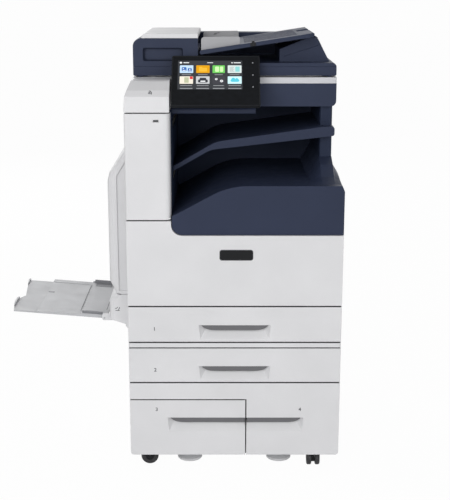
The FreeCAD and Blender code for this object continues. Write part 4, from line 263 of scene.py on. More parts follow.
def rubber(name, colour):
    """Moulded rubber, or a dark seam strip that paints a seam's shade: dusty all over and paler
    along its edges.
    """
    made = Finish(name, colour, 0.75)
    near_edge = made.soften(0.5)
    dust = made.spread(made.noise(4, 5.0), 0, 0.6, 0.5, 0.75)
    body = made.mix(dust, colour, shaded(colour, 2.6))
    body = made.mix(near_edge, body, shaded(colour, 1.8))
    made.bump(made.noise(0.8, 3.0), 0.03)
    return made.finish(body, made.spread(made.noise(6), 0.65, 0.85))


def pad_foam(name, colour):
    """The lid's white pressure pad: film over foam, with a fine dimpled weave."""
    made = Finish(name, colour, 0.55)
    made.soften(1.2)
    made.bump(made.noise(1.5, 1.0), 0.05)
    made.bump(made.noise(40), 0.4, 0.5)
    tone = made.spread(made.noise(60), 0, 1)
    body = made.mix(tone, shaded(colour, 0.97), shaded(colour, 1.02))
    return made.finish(body, made.spread(made.noise(9), 0.45, 0.62), Sheen_Weight=0.2)


def clear_glass(name):
    """Float glass with the faint smears that a cloth leaves."""
    made = Finish(name, (0.93, 0.97, 0.96, 1.0), 0.02)
    smear = made.noise(25, 5.0, (1, 3, 1))
    body = made.mix(made.spread(smear, 0, 1), (0.90, 0.95, 0.94, 1), (0.95, 0.98, 0.97, 1))
    made.bump(smear, 0.002)
    return made.finish(body, made.spread(smear, 0.015, 0.07), Transmission_Weight=1.0, IOR=1.5)


def panel_sheet(name):
    """The operation panel's one-piece gloss sheet, with soft finger smears."""
    made = Finish(name, srgb(14, 16, 19), 0.12)
    smear = made.noise(18, 5.0, (1, 2, 1))
    body = made.mix(made.spread(smear, 0, 1), srgb(12, 14, 17), srgb(19, 21, 25))
    made.bump(smear, 0.003)
    return made.finish(body, made.spread(smear, 0.3, 0.42), Specular_IOR_Level=0.08)


def document_inlay(colour):
    """The document tray's inlay, in the box that lies between its two guides."""
    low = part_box("document_guide_front")[0] + Vector((2, 4, -9)) * MM
    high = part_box("document_guide_rear")[1] - Vector((2, 4, 0)) * MM
    return (colour, low, high)


WHITE = srgb(214, 214, 216)
NAVY = srgb(45, 52, 72)
GUIDE = srgb(158, 158, 161)
DARK_PLASTIC = {"rub": 1.2, "tint": 0.06}
LOOK = {
    "cover_white": moulded("white_cover", WHITE, 0.48, edge=1.2),
    "rim_white": moulded("rim_white", srgb(196, 197, 201), 0.45),
    "cover_navy": moulded("navy_cover", NAVY, 0.45, **DARK_PLASTIC, Specular_IOR_Level=0.15),
    "bay_navy": moulded("bay_lining", srgb(38, 46, 66), 0.5, **DARK_PLASTIC,
                        Specular_IOR_Level=0.12),
    "tray_navy": moulded("tray_navy", NAVY, 0.45, **DARK_PLASTIC, Specular_IOR_Level=0.15,
                         inlay=document_inlay(GUIDE)),
    "inner_grey": moulded("inner_grey", srgb(176, 178, 182), 0.5),
    "bin_grey": moulded("bin_grey", srgb(88, 90, 94), 0.55),
    "guide_grey": moulded("guide_grey", GUIDE, 0.45),
    "bypass_grey": moulded("bypass_grey", srgb(178, 179, 182), 0.5, tint=0.07),
    "bypass_guide": moulded("bypass_guide", srgb(128, 129, 133), 0.45),
    # A mid grey that paints the shade inside the drawer grips.
    "grip_shade_grey": moulded("grip_shade_grey", srgb(98, 98, 101), 0.5),
    "foot_grey": moulded("foot_grey", srgb(196, 196, 198), 0.5),
    "switch_white": moulded("switch_white", srgb(222, 222, 222), 0.28, grain=1.5),
    "bottle_white": moulded("waste_bottle", srgb(205, 205, 198), 0.3, grain=2,
                            Subsurface_Weight=0.15, Subsurface_Scale=10 * MM),
    "black_plastic": moulded("black_plastic", srgb(24, 25, 28), 0.42, rub=2.2,
                             Specular_IOR_Level=0.2),
    "panel_shell": moulded("panel_shell", srgb(20, 22, 26), 0.42, rub=2.4,
                           Specular_IOR_Level=0.15),
    "badge": moulded("badge_plate", srgb(16, 17, 20), 0.4, grain=3, edge=0.5, rub=3,
                     Specular_IOR_Level=0.2),
    # Dark navy that paints the shade round the feeder's grip recess.
    "grip_shade_navy": moulded("painted_grip_shade", srgb(24, 30, 46), 0.6, Specular_IOR_Level=0.1),
    "port_black": moulded("port_black", srgb(12, 13, 15), 0.5),
    "toner_cyan": moulded("toner_cyan", srgb(0, 140, 190), 0.4),
    "toner_magenta": moulded("toner_magenta", srgb(190, 30, 100), 0.4),
    "toner_yellow": moulded("toner_yellow", srgb(226, 190, 30), 0.4),
    "toner_grey": moulded("toner_grey", srgb(90, 92, 95), 0.4),
    "frame_steel": metal("coated_steel", (0.56, 0.57, 0.58, 1), 0.38),
    "bright_steel": metal("bright_steel", (0.62, 0.62, 0.63, 1), 0.24, 3),
    "gold_contact": metal("gold_contact", (0.80, 0.61, 0.28, 1), 0.25, 2),
    "badge_rim": metal("badge_rim", (0.10, 0.10, 0.11, 1), 0.35, 3),
    "rubber_black": rubber("black_rubber", srgb(30, 30, 31)),
    "wheel_tread": rubber("wheel_tread", srgb(38, 38, 40)),
    # Dark, grey and pale strips that paint the shade in the seams between the fronts.
    "seam_shade": rubber("painted_seam_shade", srgb(40, 40, 42)),
    "seam_shade_grey": rubber("painted_seam_shade_grey", srgb(66, 66, 68)),
    "seam_shade_pale": rubber("painted_seam_shade_pale", srgb(112, 112, 114)),
    "clear_glass": clear_glass("platen_glass_clear"),
    "panel_black": panel_sheet("panel_sheet"),
    "pad_white": pad_foam("pressure_pad", srgb(232, 232, 228)),
    "ink_dark": ink("ink_dark", srgb(70, 72, 76)),
    "ink_soft": ink("ink_soft", srgb(128, 130, 134)),
}

# The lit colours of the touch screen.
SCREEN_COLOURS = {
    "screen_back": (58, 60, 64), "tile_blue": (196, 222, 246), "tile_amber": (224, 160, 24),
    "tile_green": (112, 200, 96), "tile_pale_teal": (214, 226, 224),
    "tile_cream": (238, 230, 214), "tile_pale_grey": (200, 202, 204),
    "tile_charcoal": (66, 66, 72), "tile_cyan": (206, 240, 246), "icon_blue": (48, 104, 176),
    "icon_white": (246, 248, 250), "icon_amber": (240, 184, 60),
    "icon_pale_green": (206, 246, 178), "icon_teal": (140, 208, 208),
    "icon_grey": (150, 158, 160), "icon_tan": (186, 190, 160), "icon_red": (216, 58, 60),
    "icon_dark": (60, 62, 68), "icon_cyan": (90, 200, 218), "icon_label": (150, 152, 156),
    "touch_dot": (150, 152, 156),
}
for label, colour in SCREEN_COLOURS.items():
    LOOK[label] = lit(label, srgb(*colour))

# The nodes that look different from the rest of their material slot.
OWN_LOOK = {
    "exit_bay_walls": "bay_navy",
    "panel_housing": "panel_shell",
    "scanner_rim": "rim_white",
    "document_tray": "tray_navy",
    "levelling_feet": "foot_grey",
    "bypass_guide_front": "bypass_guide",
    "bypass_guide_rear": "bypass_guide",
}


def dress(item, look):
    item.data.materials.clear()
    item.data.materials.append(LOOK[look])


for entry in frame["record"]["subparts"]:
    label = entry["node"]
    dress(nodes[label], OWN_LOOK.get(label, entry["material_slot"]))


# ------------------------------------------------------------------ mesh helpers
def new_object(name, mesh, look, body, smooth=True):
    """Put a finished mesh in the scene, shade it, and let it ride on its body."""
    item = bpy.data.objects.new(name, mesh)
    bpy.context.scene.collection.objects.link(item)
    dress(item, look)
    if smooth:
        mesh.shade_smooth()
        sharp = mesh.attributes.new("sharp_edge", "BOOLEAN", "EDGE")
        scratch = bmesh.new()
        scratch.from_mesh(mesh)
        limit = math.radians(40)
        sharp.data.foreach_set("value", [
            len(edge.link_faces) != 2 or edge.calc_face_angle(0) > limit
            for edge in scratch.edges])
        scratch.free()
    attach(item, body)
    return item


def piece(name, made, look, body):
    """The object of a bmesh that is done with."""
    mesh = bpy.data.meshes.new(name)
    made.to_mesh(mesh)
    made.free()
    return new_object(name, mesh, look, body)


def rounded_outline(wide, tall, radius, steps=6):
    """The corners of a rectangle about the origin, each swept as an arc."""
    points = []
    for quarter, (side, up) in enumerate(((1, 1), (-1, 1), (-1, -1), (1, -1))):
        middle = Vector((side * (wide / 2 - radius), up * (tall / 2 - radius)))
        for step in range(steps + 1):
            turn = math.pi / 2 * (quarter + step / steps)
            points.append(middle + radius * Vector((math.cos(turn), math.sin(turn))))
    return points


def circle_outline(radius, steps=24):
    turns = [2 * math.pi * step / steps for step in range(steps)]
    return [radius * Vector((math.cos(turn), math.sin(turn))) for turn in turns]


def arc_outline(radius, wide, start, end, steps=16):
    """A bent stroke of the given width, between two turns in degrees."""
    turns = [math.radians(start + (end - start) * step / steps) for step in range(steps + 1)]
    spokes = [Vector((math.cos(turn), math.sin(turn))) for turn in turns]
    return ([spoke * (radius + wide / 2) for spoke in spokes]
            + [spoke * (radius - wide / 2) for spoke in reversed(spokes)])


def tilted(outline, degrees):
    return [Matrix.Rotation(math.radians(degrees), 2) @ point for point in outline]


class Plane:
    """A flat working plane: an origin, two directions in it and one out of it."""

    def __init__(self, origin, across, up):
        self.origin = Vector(origin)
        self.across = Vector(across).normalized()
        self.up = Vector(up).normalized()
        self.out = self.across.cross(self.up)

    def at(self, across, up, out=0.0):
        """The point in space at a place given in millimetres."""
        return self.origin + MM * (across * self.across + up * self.up + out * self.out)


def join_rings(made, rings):
    """Close each ring of vertices to the next with faces.  A ring may be a single vertex."""
    for first, second in zip(rings, rings[1:]):
        steps = max(len(first), len(second))
        for step in range(steps):
            after = (step + 1) % steps
            corners = (first[step % len(first)], first[after % len(first)],
                       second[after % len(second)], second[step % len(second)])
            made.faces.new(list(dict.fromkeys(corners)))


# An outline about a middle, between two depths.  The crown is how far its upper rim is cut back.
Plate = namedtuple("Plate", "outline low high middle crown", defaults=((0, 0), 0))


def plates(name, plane, items, look, body):
    """One object of several plates that stand on a plane."""
    made = bmesh.new()
    for plate in items:
        levels = [(plate.low, 0), (plate.high - plate.crown, 0)]
        if plate.crown:
            levels.append((plate.high, plate.crown))
        rings = []
        for level, inset in levels:
            outline = [point - inset * point.normalized() for point in plate.outline]
            rings.append([made.verts.new(plane.at(*(Vector(plate.middle) + point), level))
                          for point in outline])
        join_rings(made, rings)
        made.faces.new(list(reversed(rings[0])))
        made.faces.new(rings[-1])
    return piece(name, made, look, body)


# How far the back and the face of a printed and of an inlaid mark stand off their plane.
PRINTED = (0.02, 0.06)
INLAID = (0.01, 0.05)


def marks(name, plane, strokes, look, body, depths=PRINTED):
    """One object of flat strokes on a plane, each an outline and its middle."""
    items = [Plate(outline, *depths, middle) for outline, middle in strokes]
    return plates(name, plane, items, look, body)


def sweep(made, origin, axis, profile, steps):
    """Sweep (along, radius) pairs about an axis through the origin."""
    side = axis.orthogonal().normalized()
    other = axis.cross(side)
    turns = [2 * math.pi * step / steps for step in range(steps)]
    spokes = [math.cos(turn) * side + math.sin(turn) * other for turn in turns]
    rings = []
    for along, radius in profile:
        centre = origin + along * MM * axis
        ring = [centre + radius * MM * spoke for spoke in spokes] if radius else [centre]
        rings.append([made.verts.new(point) for point in ring])
    join_rings(made, rings)
    bmesh.ops.recalc_face_normals(made, faces=made.faces)


def turned(name, origin, axis, profile, look, body):
    """A turned piece."""
    made = bmesh.new()
    sweep(made, origin, axis, profile, steps=48)
    return piece(name, made, look, body)


def lettered(name, text, plane, middle, tall, look, body):
    """A generic printed character, lying a hair proud of its plane."""
    figure_share = 0.7    # a figure's height over the font's size
    thick, bolder = 0.03, 0.025 * tall
    curve = bpy.data.curves.new(name, "FONT")
    curve.body = text
    curve.size = tall * MM / figure_share
    curve.align_x = "CENTER"
    curve.align_y = "CENTER"
    curve.extrude = thick * MM
    curve.offset = bolder * MM
    holder = bpy.data.objects.new(name, curve)
    bpy.context.scene.collection.objects.link(holder)
    bpy.context.view_layer.update()
    mesh = bpy.data.meshes.new_from_object(holder.evaluated_get(
        bpy.context.evaluated_depsgraph_get()))
    bpy.data.objects.remove(holder)
    turn = Matrix((plane.across, plane.up, plane.out)).transposed().to_4x4()
    mesh.transform(Matrix.Translation(plane.at(*middle, PRINTED[0])) @ turn)
    return new_object(name, mesh, look, body, smooth=False)


def face_plane(node, towards):
    """The plane of a CAD node's largest flat side that faces a direction.

    Its origin is the side's lower left corner, as seen by someone facing it.
    """
    nearly_facing = 0.9
    towards = Vector(towards).normalized()
    mesh = nodes[node].data
    groups = {}
    for polygon in mesh.polygons:
        if polygon.normal.dot(towards) > nearly_facing:
            level = polygon.normal.dot(mesh.vertices[polygon.vertices[0]].co)
            key = (round(polygon.normal.y, 2), round(polygon.normal.z, 2), round(level, 3))
            groups.setdefault(key, []).append(polygon)
    side = max(groups.values(), key=lambda faces: sum(face.area for face in faces))
    out = side[0].normal.copy()
    across = UP.cross(out).normalized()
    up = out.cross(across)
    corners = [mesh.vertices[index].co for face in side for index in face.vertices]
    left = min(corner.dot(across) for corner in corners)
    low = min(corner.dot(up) for corner in corners)
    level = corners[0].dot(out)
    return Plane(left * across + low * up + level * out, across, up)


def seen_surface(node, spot, towards):
    """The plane of a CAD surface where a line through a spot first meets it."""
    mesh = nodes[node].data
    tree = BVHTree.FromPolygons([vertex.co for vertex in mesh.vertices],
                                [polygon.vertices for polygon in mesh.polygons])
    start = Vector(spot) - towards
    hit, out, _, _ = tree.ray_cast(start, towards)
    across = RIGHT - RIGHT.dot(out) * out
    return Plane(hit, across, out.cross(across))


def front_of(node, from_left, from_low):
    """The surface that someone in front sees, so far from its box's left and lower edges."""
    low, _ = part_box(node)
    return seen_surface(node, low + Vector((from_left, 0, from_low)) * MM, BACK)


def top_of(node, from_left, from_front):
    """The surface seen from above, so far from its box's left and front edges."""
    low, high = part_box(node)
    spot = Vector((low.x + from_left * MM, low.y + from_front * MM, high.z))
    return seen_surface(node, spot, -UP)


# ------------------------------------------------------------------ operation panel
# The heights of the display's layers above its glass, and how thick a layer is.
BACK_LIFT = 0.01
TILE_LIFT = 0.07
BAR_LIFT = 0.08
ICON_LIFT = 0.13
DETAIL_LIFT = 0.19
LAYER = 0.05


def bar(left, low, wide, tall, radius):
    """A rounded bar given by its lower left corner, as its outline and its middle."""
    return rounded_outline(wide, tall, radius, 4), (left + wide / 2, low + tall / 2)


def disc(across, up, radius):
    return circle_outline(radius), (across, up)


# Each column's left edge and width, and each row's lower edge and height.
COLUMNS = ((20.5, 33.2), (61, 33.3), (101.6, 30.4), (139.3, 34.2))
UPPER_ROW = (105, 25)
LOWER_ROW = (70, 24)
TILES = (("blue", COLUMNS[0], UPPER_ROW), ("amber", COLUMNS[1], UPPER_ROW),
         ("green", COLUMNS[2], UPPER_ROW), ("pale_teal", COLUMNS[3], UPPER_ROW),
         ("cream", COLUMNS[0], LOWER_ROW), ("pale_grey", COLUMNS[1], LOWER_ROW),
         ("charcoal", COLUMNS[2], LOWER_ROW), ("cyan", COLUMNS[3], LOWER_ROW))
# Each icon's name, tile, look, height and shapes, placed from the tile's lower left corner.
ICONS = (
    ("cards", "blue", "icon_blue", ICON_LIFT,
     [bar(4.5, 6, 12, 13, 2.5), bar(19.5, 4, 10, 12, 2.5)]),
    ("cards_light", "blue", "icon_white", DETAIL_LIFT,
     [disc(8.5, 14.5, 1.6), disc(24.5, 12, 1.6), bar(6.5, 7.4, 8, 2.2, 0.9),
      bar(21, 5.4, 7, 2, 0.9)]),
    ("folder", "amber", "icon_amber", ICON_LIFT,
     [bar(7, 5, 20, 12, 1.4), bar(7, 16, 8, 4, 1.2)]),
    ("sheets", "green", "icon_pale_green", ICON_LIFT,
     [bar(6.4, 4, 10, 17, 2.2), bar(18.4, 4, 8, 17, 2.2)]),
    ("form", "pale_teal", "icon_teal", ICON_LIFT, [bar(18.7, 4, 11, 17, 1.2)]),
    ("form_lines", "pale_teal", "icon_grey", ICON_LIFT,
     [bar(4.7, 18.6 - 3.4 * line, 12 - 3 * (line % 2), 1.4, 0.56) for line in range(5)]),
    ("note", "cream", "icon_tan", ICON_LIFT, [bar(11.5, 3, 11, 18, 1)]),
    ("note_flag", "cream", "icon_red", ICON_LIFT, [bar(25, 15, 7.5, 8.6, 1.4)]),
    ("machine", "pale_grey", "icon_dark", ICON_LIFT,
     [bar(5, 4, 24, 10, 3), bar(9, 12, 16, 7.5, 2)]),
    ("machine_sheet", "pale_grey", "icon_white", DETAIL_LIFT, [bar(11, 6.4, 12, 3.4, 0.8)]),
    ("gears", "charcoal", "icon_white", ICON_LIFT, [disc(9.4, 15, 3.1), disc(22.4, 9, 3.8)]),
    ("gear_bores", "charcoal", "icon_dark", DETAIL_LIFT,
     [disc(9.4, 15, 1.3), disc(22.4, 9, 1.6)]),
    ("cloud", "cyan", "icon_cyan", ICON_LIFT,
     [bar(6.7, 6, 22, 9, 4.4), disc(13.7, 15, 4.6), disc(22.2, 14.5, 3.8)]),
)
# The bars that stand for text, placed from the layout's own corner.
TEXT_BARS = (
    ("header", "icon_white", [disc(22.5, 138.8, 3), bar(29, 137.6, 14, 2.4, 1),
                              bar(88, 137.8, 15, 1.8, 0.8), disc(150, 138.6, 1.8),
                              bar(154, 137.4, 18, 2.4, 1)]),
    ("labels", "icon_label",
     [bar(left + 2, 63.2, wide - 4, 2, 0.8) for left, wide in COLUMNS]
     + [bar(left + 5, 98.6, wide - 10, 1.8, 0.7) for left, wide in COLUMNS]),
    ("foot", "icon_label", [bar(left + 1, 53.6, wide - 2, 2.8, 0.8) for left, wide in COLUMNS]),
)
TOUCH_MARKS = [disc(201.5, up, 1.7) for up in (138.5, 98.5, 60)]


def operation_panel():
    """The lit touch screen with its generic tiles, and the three touch marks beside it."""
    forward_and_up = (0, -0.7, 0.7)
    glass = face_plane("panel_glass", forward_and_up)
    housing_rim = 3.3    # the layout is measured from the housing's corner, beyond the glass
    layout = Plane(glass.at(-housing_rim, -housing_rim), glass.across, glass.up)

    def lay(name, look, lift, shapes, corner=(0, 0)):
        strokes = [(outline, Vector(corner) + Vector(middle)) for outline, middle in shapes]
        marks(name, layout, strokes, look, "operation_panel", (lift, lift + LAYER))

    lay("screen_back", "screen_back", BACK_LIFT, [bar(15.5, 52, 160, 93.6, 1)])
    corners = {}
    for name, (left, wide), (low, tall) in TILES:
        corners[name] = (left, low)
        lay(f"tile_{name}", f"tile_{name}", TILE_LIFT, [bar(left, low, wide, tall, 1.6)])
    for name, tile, look, lift, shapes in ICONS:
        lay(f"icon_{name}", look, lift, shapes, corners[tile])
    for name, look, shapes in TEXT_BARS:
        lay(f"icon_{name}", look, BAR_LIFT, shapes)
    marks("touch_marks", layout, TOUCH_MARKS, "touch_dot", "operation_panel", INLAID)


# ------------------------------------------------------------------ front
def front_plane(node):
    """The vertical plane of a node's front, from the middle of the machine and the node's top."""
    left, right = (corner.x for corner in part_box("tray_1_front"))
    low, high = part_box(node)
    return Plane(((left + right) / 2, low.y, high.z), RIGHT, UP)


# Each tray number's place, across from the machine's middle and up from its front's top.
TRAY_NUMBERS = {"1": (-205.5, -58.4), "2": (-204.9, -58.4), "3": (-202.9, -25.6),
                "4": (169.9, -72.6)}
NUMBER_TALL = 9.5
BADGE_MIDDLE = (3.6, -87.3)


def front_marks():
    """The tray numbers, and the blank badge in its rim."""
    for text, middle in TRAY_NUMBERS.items():
        lettered(f"number_{text}", text, front_plane(f"tray_{text}_front"), middle, NUMBER_TALL,
                 "ink_dark", f"drawer_{text}")
    for name, wide, tall, radius, low, high in (("badge_rim", 85, 28, 6.5, -0.2, 0.8),
                                                ("badge", 82, 25, 5, 0.4, 1.2)):
        plate = Plate(rounded_outline(wide, tall, radius), low, high, BADGE_MIDDLE, crown=0.4)
        plates(name, front_plane("front_door"), [plate], name, "door_front")


def seam_shade_strips():
    """Dark strips along the edges of the fronts that paint the shade in the seams between them."""
    base_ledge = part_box("tray_1_front")[0].z - 3 * MM
    tower_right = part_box("tower_cover")[1].x - 8 * MM
    side_gap, set_back = 1.5 * MM, 6.7 * MM
    deep, corner, thick = 11, 2, 0.3
    for name, node, body, level, right, look in (
            ("drawer_1", "tray_1_front", "drawer_1", None, None, "seam_shade"),
            ("base", "main_base", "machine", base_ledge, None, "seam_shade_grey"),
            ("drawer_2", "tray_2_front", "drawer_2", None, None, "seam_shade"),
            ("drawer_3", "tray_3_front", "drawer_3", None, None, "seam_shade"),
            ("drawer_4", "tray_4_front", "drawer_4", None, None, "seam_shade_grey"),
            ("door", "front_door", "door_front", None, tower_right, "seam_shade_grey"),
            ("tower", "tower_cover", "machine", None, tower_right, "seam_shade_pale")):
        low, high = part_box(node)
        left = low.x + side_gap
        right = right or high.x - side_gap
        middle = ((left + right) / 2, low.y + set_back, level or high.z)
        strip = Plate(rounded_outline((right - left) / MM, deep, corner), 0, thick, crown=0.1)
        plates(f"felt_{name}", Plane(middle, RIGHT, BACK), [strip], look, body)


def rebate_shade_strip():
    """A dark upright strip in the rebate along the base's lower edge, painting the rebate's shade.
    """
    low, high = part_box("main_base")
    set_back, lift, side_gap = 3 * MM, 0.75 * MM, 3.5
    middle = ((low.x + high.x) / 2, low.y + set_back, low.z + lift)
    outline = rounded_outline((high.x - low.x) / MM - 2 * side_gap, 1.3, 0.5)
    plates("seam_shade_rebate", Plane(middle, RIGHT, UP), [Plate(outline, 0, 0.4)], "seam_shade", "machine")


def split_shade_strip():
    """A dark strip on the side of the left lower front, painting the shade in the seam between the
    two.
    """
    low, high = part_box("tray_3_front")
    set_back, end_gap = 10 * MM, 0.5
    middle = (high.x, low.y + set_back, (low.z + high.z) / 2)
    outline = rounded_outline(6, (high.z - low.z) / MM - 2 * end_gap, 2)
    plates("seam_shade_split", Plane(middle, BACK, UP), [Plate(outline, 0, 2.4, crown=0.6)], "seam_shade",
           "drawer_3")


def shade_plate_outline(half, bowed_left, bowed_right):
    """A shade plate's face about its middle: its lower edge sweeps up to each end that is bowed.
    """
    steps, sweep_long, sharpness = 48, 85, 8
    top, raised, lowered = -0.4, -3, 12.5
    lower = []
    for step in range(steps + 1):
        share = 2 * step / steps - 1
        bowed = bowed_right if share > 0 else bowed_left
        bow = max(0, 1 - (1 - abs(share)) * half / sweep_long) if bowed else 0
        lower.append(Vector((share * half, raised - lowered * (1 - bow ** sharpness))))
    return lower + [Vector((half, top)), Vector((-half, top))]


def grip_shade_plates():
    """A grey plate behind the lip of each drawer's grip, on a web to its back; its grey paints the
    grip's shade.
    """
    split = (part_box("tray_3_front")[1].x - front_plane("tray_3_front").origin.x) / MM
    split_gap, bowed_gap, straight_gap = 3, 7.5, 1
    lip_drop, web_drop, web_tall, web_short = 48.2, 4.2, 7, 7
    for text, lip, left, right, bowed_left, bowed_right in (
            ("1", "tray_1_front", -92.5, 92.5, True, True),
            ("2", "tray_2_front", -92.5, 92.5, True, True),
            ("3", "tray_3_front", -175, split, True, False),
            ("4", "tray_3_front", split + split_gap, 180, False, True)):
        left += bowed_gap if bowed_left else straight_gap
        right -= bowed_gap if bowed_right else straight_gap
        half = (right - left) / 2
        across = (left + right) / 2
        face = Plate(shade_plate_outline(half, bowed_left, bowed_right), -9, -6,
                     (across, -lip_drop), crown=0.8)
        web = Plate(rounded_outline(2 * (half - web_short), web_tall, 1), -15.8, -8.5,
                    (across, -lip_drop - web_drop))
        plates(f"grip_shade_plate_{text}", front_plane(lip), [face, web], "grip_shade_grey",
               f"drawer_{text}")


def tower_marks():
    """The contactless mark on the cap, and the data port below it."""
    cap = front_of("tower_top_cover", 65.04, 45.1)
    waves = [(tilted(arc_outline(radius, 2.3, -40, 40), 25), (-6, 0.5))
             for radius in (2.8, 6.2, 9.6)]
    marks("cap_mark", cap, waves, "ink_dark", "machine")
    from_left, from_low = 78.54, 247.3
    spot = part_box("tower_cover")[0] + Vector((from_left, 0, from_low)) * MM
    for name, wide, tall, back, face, look in (
            ("port_shell", 14.2, 6.4, -3.4, -0.9, "bright_steel"),
            ("port_mouth", 12.6, 4.8, -1.2, -0.85, "port_black"),
            ("port_tongue", 10.4, 1.6, -1.1, -0.75, "ink_dark")):
        plates(name, Plane(spot, RIGHT, UP), [Plate(rounded_outline(wide, tall, 0.7), back, face)],
               look, "machine")


def side_door_mark():
    """The small printed sign low on the side door, of four strokes."""
    strokes = [(rounded_outline(11, 1.6, 0.7), (0, -5)),
               (tilted(rounded_outline(9, 1.6, 0.7), 64), (4, 0)),
               (arc_outline(5, 1.4, 95, 170), (2, -1)),
               (tilted(rounded_outline(4, 1.4, 0.6), 100), (-4.6, 0.6))]
    marks("side_door_mark", front_of("side_door", 44.44, 60), strokes, "ink_dark", "door_side")


# ------------------------------------------------------------------ trays and feeder
def bypass_marks():
    """The grooves, the size ticks and the thumb catch of the bypass tray."""
    tray = top_of("bypass_tray", 145.53, 160.8)
    grooves = [(rounded_outline(1.6, long, 0.7), (across, 0))
               for across, long in ((-35, 244), (32, 200))]
    marks("bypass_grooves", tray, grooves, "ink_dark", "bypass", INLAID)
    ticks = [(rounded_outline(7, 0.9, 0.3), (-31, side * up))
             for up in (30, 46, 62, 84, 100) for side in (-1, 1)]
    marks("bypass_ticks", tray, ticks, "ink_soft", "bypass", INLAID)
    catch = Plate(rounded_outline(17, 9, 3.5), -0.2, 1, crown=0.5)
    plates("bypass_catch", top_of("bypass_tray", 10.03, 192.8), [catch], "bypass_guide", "bypass")


def document_tray_details():
    """The document tray's low ribs, and the clip on its front edge."""
    rib_pitch = 44
    ribs = [Plate(rounded_outline(136, 3, 1.4), -0.5, 0.9, (0, rib_pitch * place), crown=0.5)
            for place in (-2.5, -1.5, -0.5, 0.5, 1.5, 2.5)]
    plates("document_tray_ribs", top_of("document_tray", 179.44, 165.3), ribs, "cover_navy",
           "original_tray")
    slope, from_left, from_low = 0.153, 133.44, 24.94
    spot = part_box("document_tray")[0] + Vector((from_left, 0, from_low)) * MM
    clip = [Plate(rounded_outline(15, 9, 2.4), -0.3, 1.6, crown=0.6),
            Plate(rounded_outline(7, 14, 2), 0, 2.4, (1, 2), crown=0.6)]
    plates("document_clip", Plane(spot, (1, 0, slope), (-slope, 0, 1)), clip, "black_plastic",
           "original_tray")


def feeder_grip_shade_ring():
    """A dark ring round the wall of the grip in the feeder's front, painting the recess's shade.
    """
    floor = front_of("adf_base", 75.54, 56.2)
    wide, tall, wall = 100.8, 32.8, 2.6
    outer = rounded_outline(wide, tall, 4.8)
    inner = rounded_outline(wide - 2 * wall, tall - 2 * wall, 8)
    sunk, front = -0.1, 9
    ends = list(zip(outer, inner))
    bands = [Plate((start[0], *end, start[1]), sunk, front)
             for start, end in zip(ends, ends[1:] + ends[:1])]
    plates("feeder_grip_shade_ring", floor, bands, "grip_shade_navy", "lid")


def guide_mark():
    """The two short strokes printed on the document tray's rear guide."""
    strokes = [(tilted(rounded_outline(long, 1.6, 0.6), 8), middle)
               for long, middle in ((15, (0, 1.6)), (9, (-5, -1.6)))]
    marks("guide_mark", front_of("document_guide_rear", 37.44, 25.64), strokes, "ink_dark",
          "original_guide_rear")


def pressure_pad():
    """The lid's foam pad, drawn in along its rim by the film that is pulled over it."""
    low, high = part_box("platen_pad")
    wide, deep, thick = (high - low) / MM
    face = Plane(((low.x + high.x) / 2, (low.y + high.y) / 2, high.z), RIGHT, -BACK)
    corner, tuck, rim, steps = 9, 0.5, 0.45 * thick, 6
    sections = [(0, tuck), (0.2 * thick, 0)]
    for step in range(steps + 1):
        turn = math.pi / 2 * step / steps
        sections.append((thick - rim * (1 - math.sin(turn)), rim * (1 - math.cos(turn))))
    made = bmesh.new()
    rings = []
    for out, inset in sections:
        outline = rounded_outline(wide - 2 * inset, deep - 2 * inset, corner - inset, 8)
        rings.append([made.verts.new(face.at(*point, out)) for point in outline])
    join_rings(made, rings)
    made.faces.new(rings[0])
    made.faces.new(rings[-1])
    bmesh.ops.recalc_face_normals(made, faces=made.faces)
    pad = piece("pressure_pad", made, "pad_white", "lid")
    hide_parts("platen_pad")


# ------------------------------------------------------------------ inside, rear and castors
def toner_rings():
    """A coloured ring round each cartridge's handle."""
    low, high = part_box("toner_cartridges")
    colours = ("grey", "cyan", "magenta", "yellow")
    radius = (high.z - low.z) / 2
    pitch = (high.x - low.x - 2 * radius) / (len(colours) - 1)
    set_back = 5 * MM
    ring = Plate(arc_outline(32, 5, 0.5, 359.5, 60), 0.02, 0.5)
    for index, colour in enumerate(colours):
        middle = (low.x + radius + index * pitch, low.y + set_back, low.z + radius)
        plates(f"toner_ring_{colour}", Plane(middle, RIGHT, UP), [ring], f"toner_{colour}",
               "machine")


def rear_fittings():
    """Cover screws, and the sockets seen through the rear cover's two small windows."""
    low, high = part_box("main_rear_cover")
    behind = Plane((high.x, high.y, low.z), -RIGHT, UP)
    lower_row = [(across, 15) for across in (530.06, 272.06, 14.06)]
    upper_row = [(across, 574) for across in (530.06, 272.06, 36.06)]
    heads, slots = [], []
    for middle in lower_row + upper_row:
        heads.append(Plate(circle_outline(3.6), -0.2, 1.3, middle, crown=0.7))
        slots += [Plate(rounded_outline(wide, tall, 0.3), 0.9, 1.34, middle)
                  for wide, tall in ((4.2, 0.8), (0.8, 4.2))]
    plates("rear_screws", behind, heads, "bright_steel", "machine")
    plates("rear_screw_slots", behind, slots, "port_black", "machine")
    windows_across = 486.46
    for name, up, mouth_wide, mouth_tall in (("network", 245, 13, 11), ("device", 220, 11, 10)):
        for part, look, wide, tall, back, face in (
                ("plate", "bright_steel", 19.4, 17.4, -2.9, -2.2),
                ("mouth", "port_black", mouth_wide, mouth_tall, -2.4, -2),
                ("tongue", "gold_contact", mouth_wide - 4, 2, -2.2, -1.9)):
            plate = Plate(rounded_outline(wide, tall, 0.8), back, face, (windows_across, up))
            plates(f"{name}_socket_{part}", behind, [plate], look, "machine")


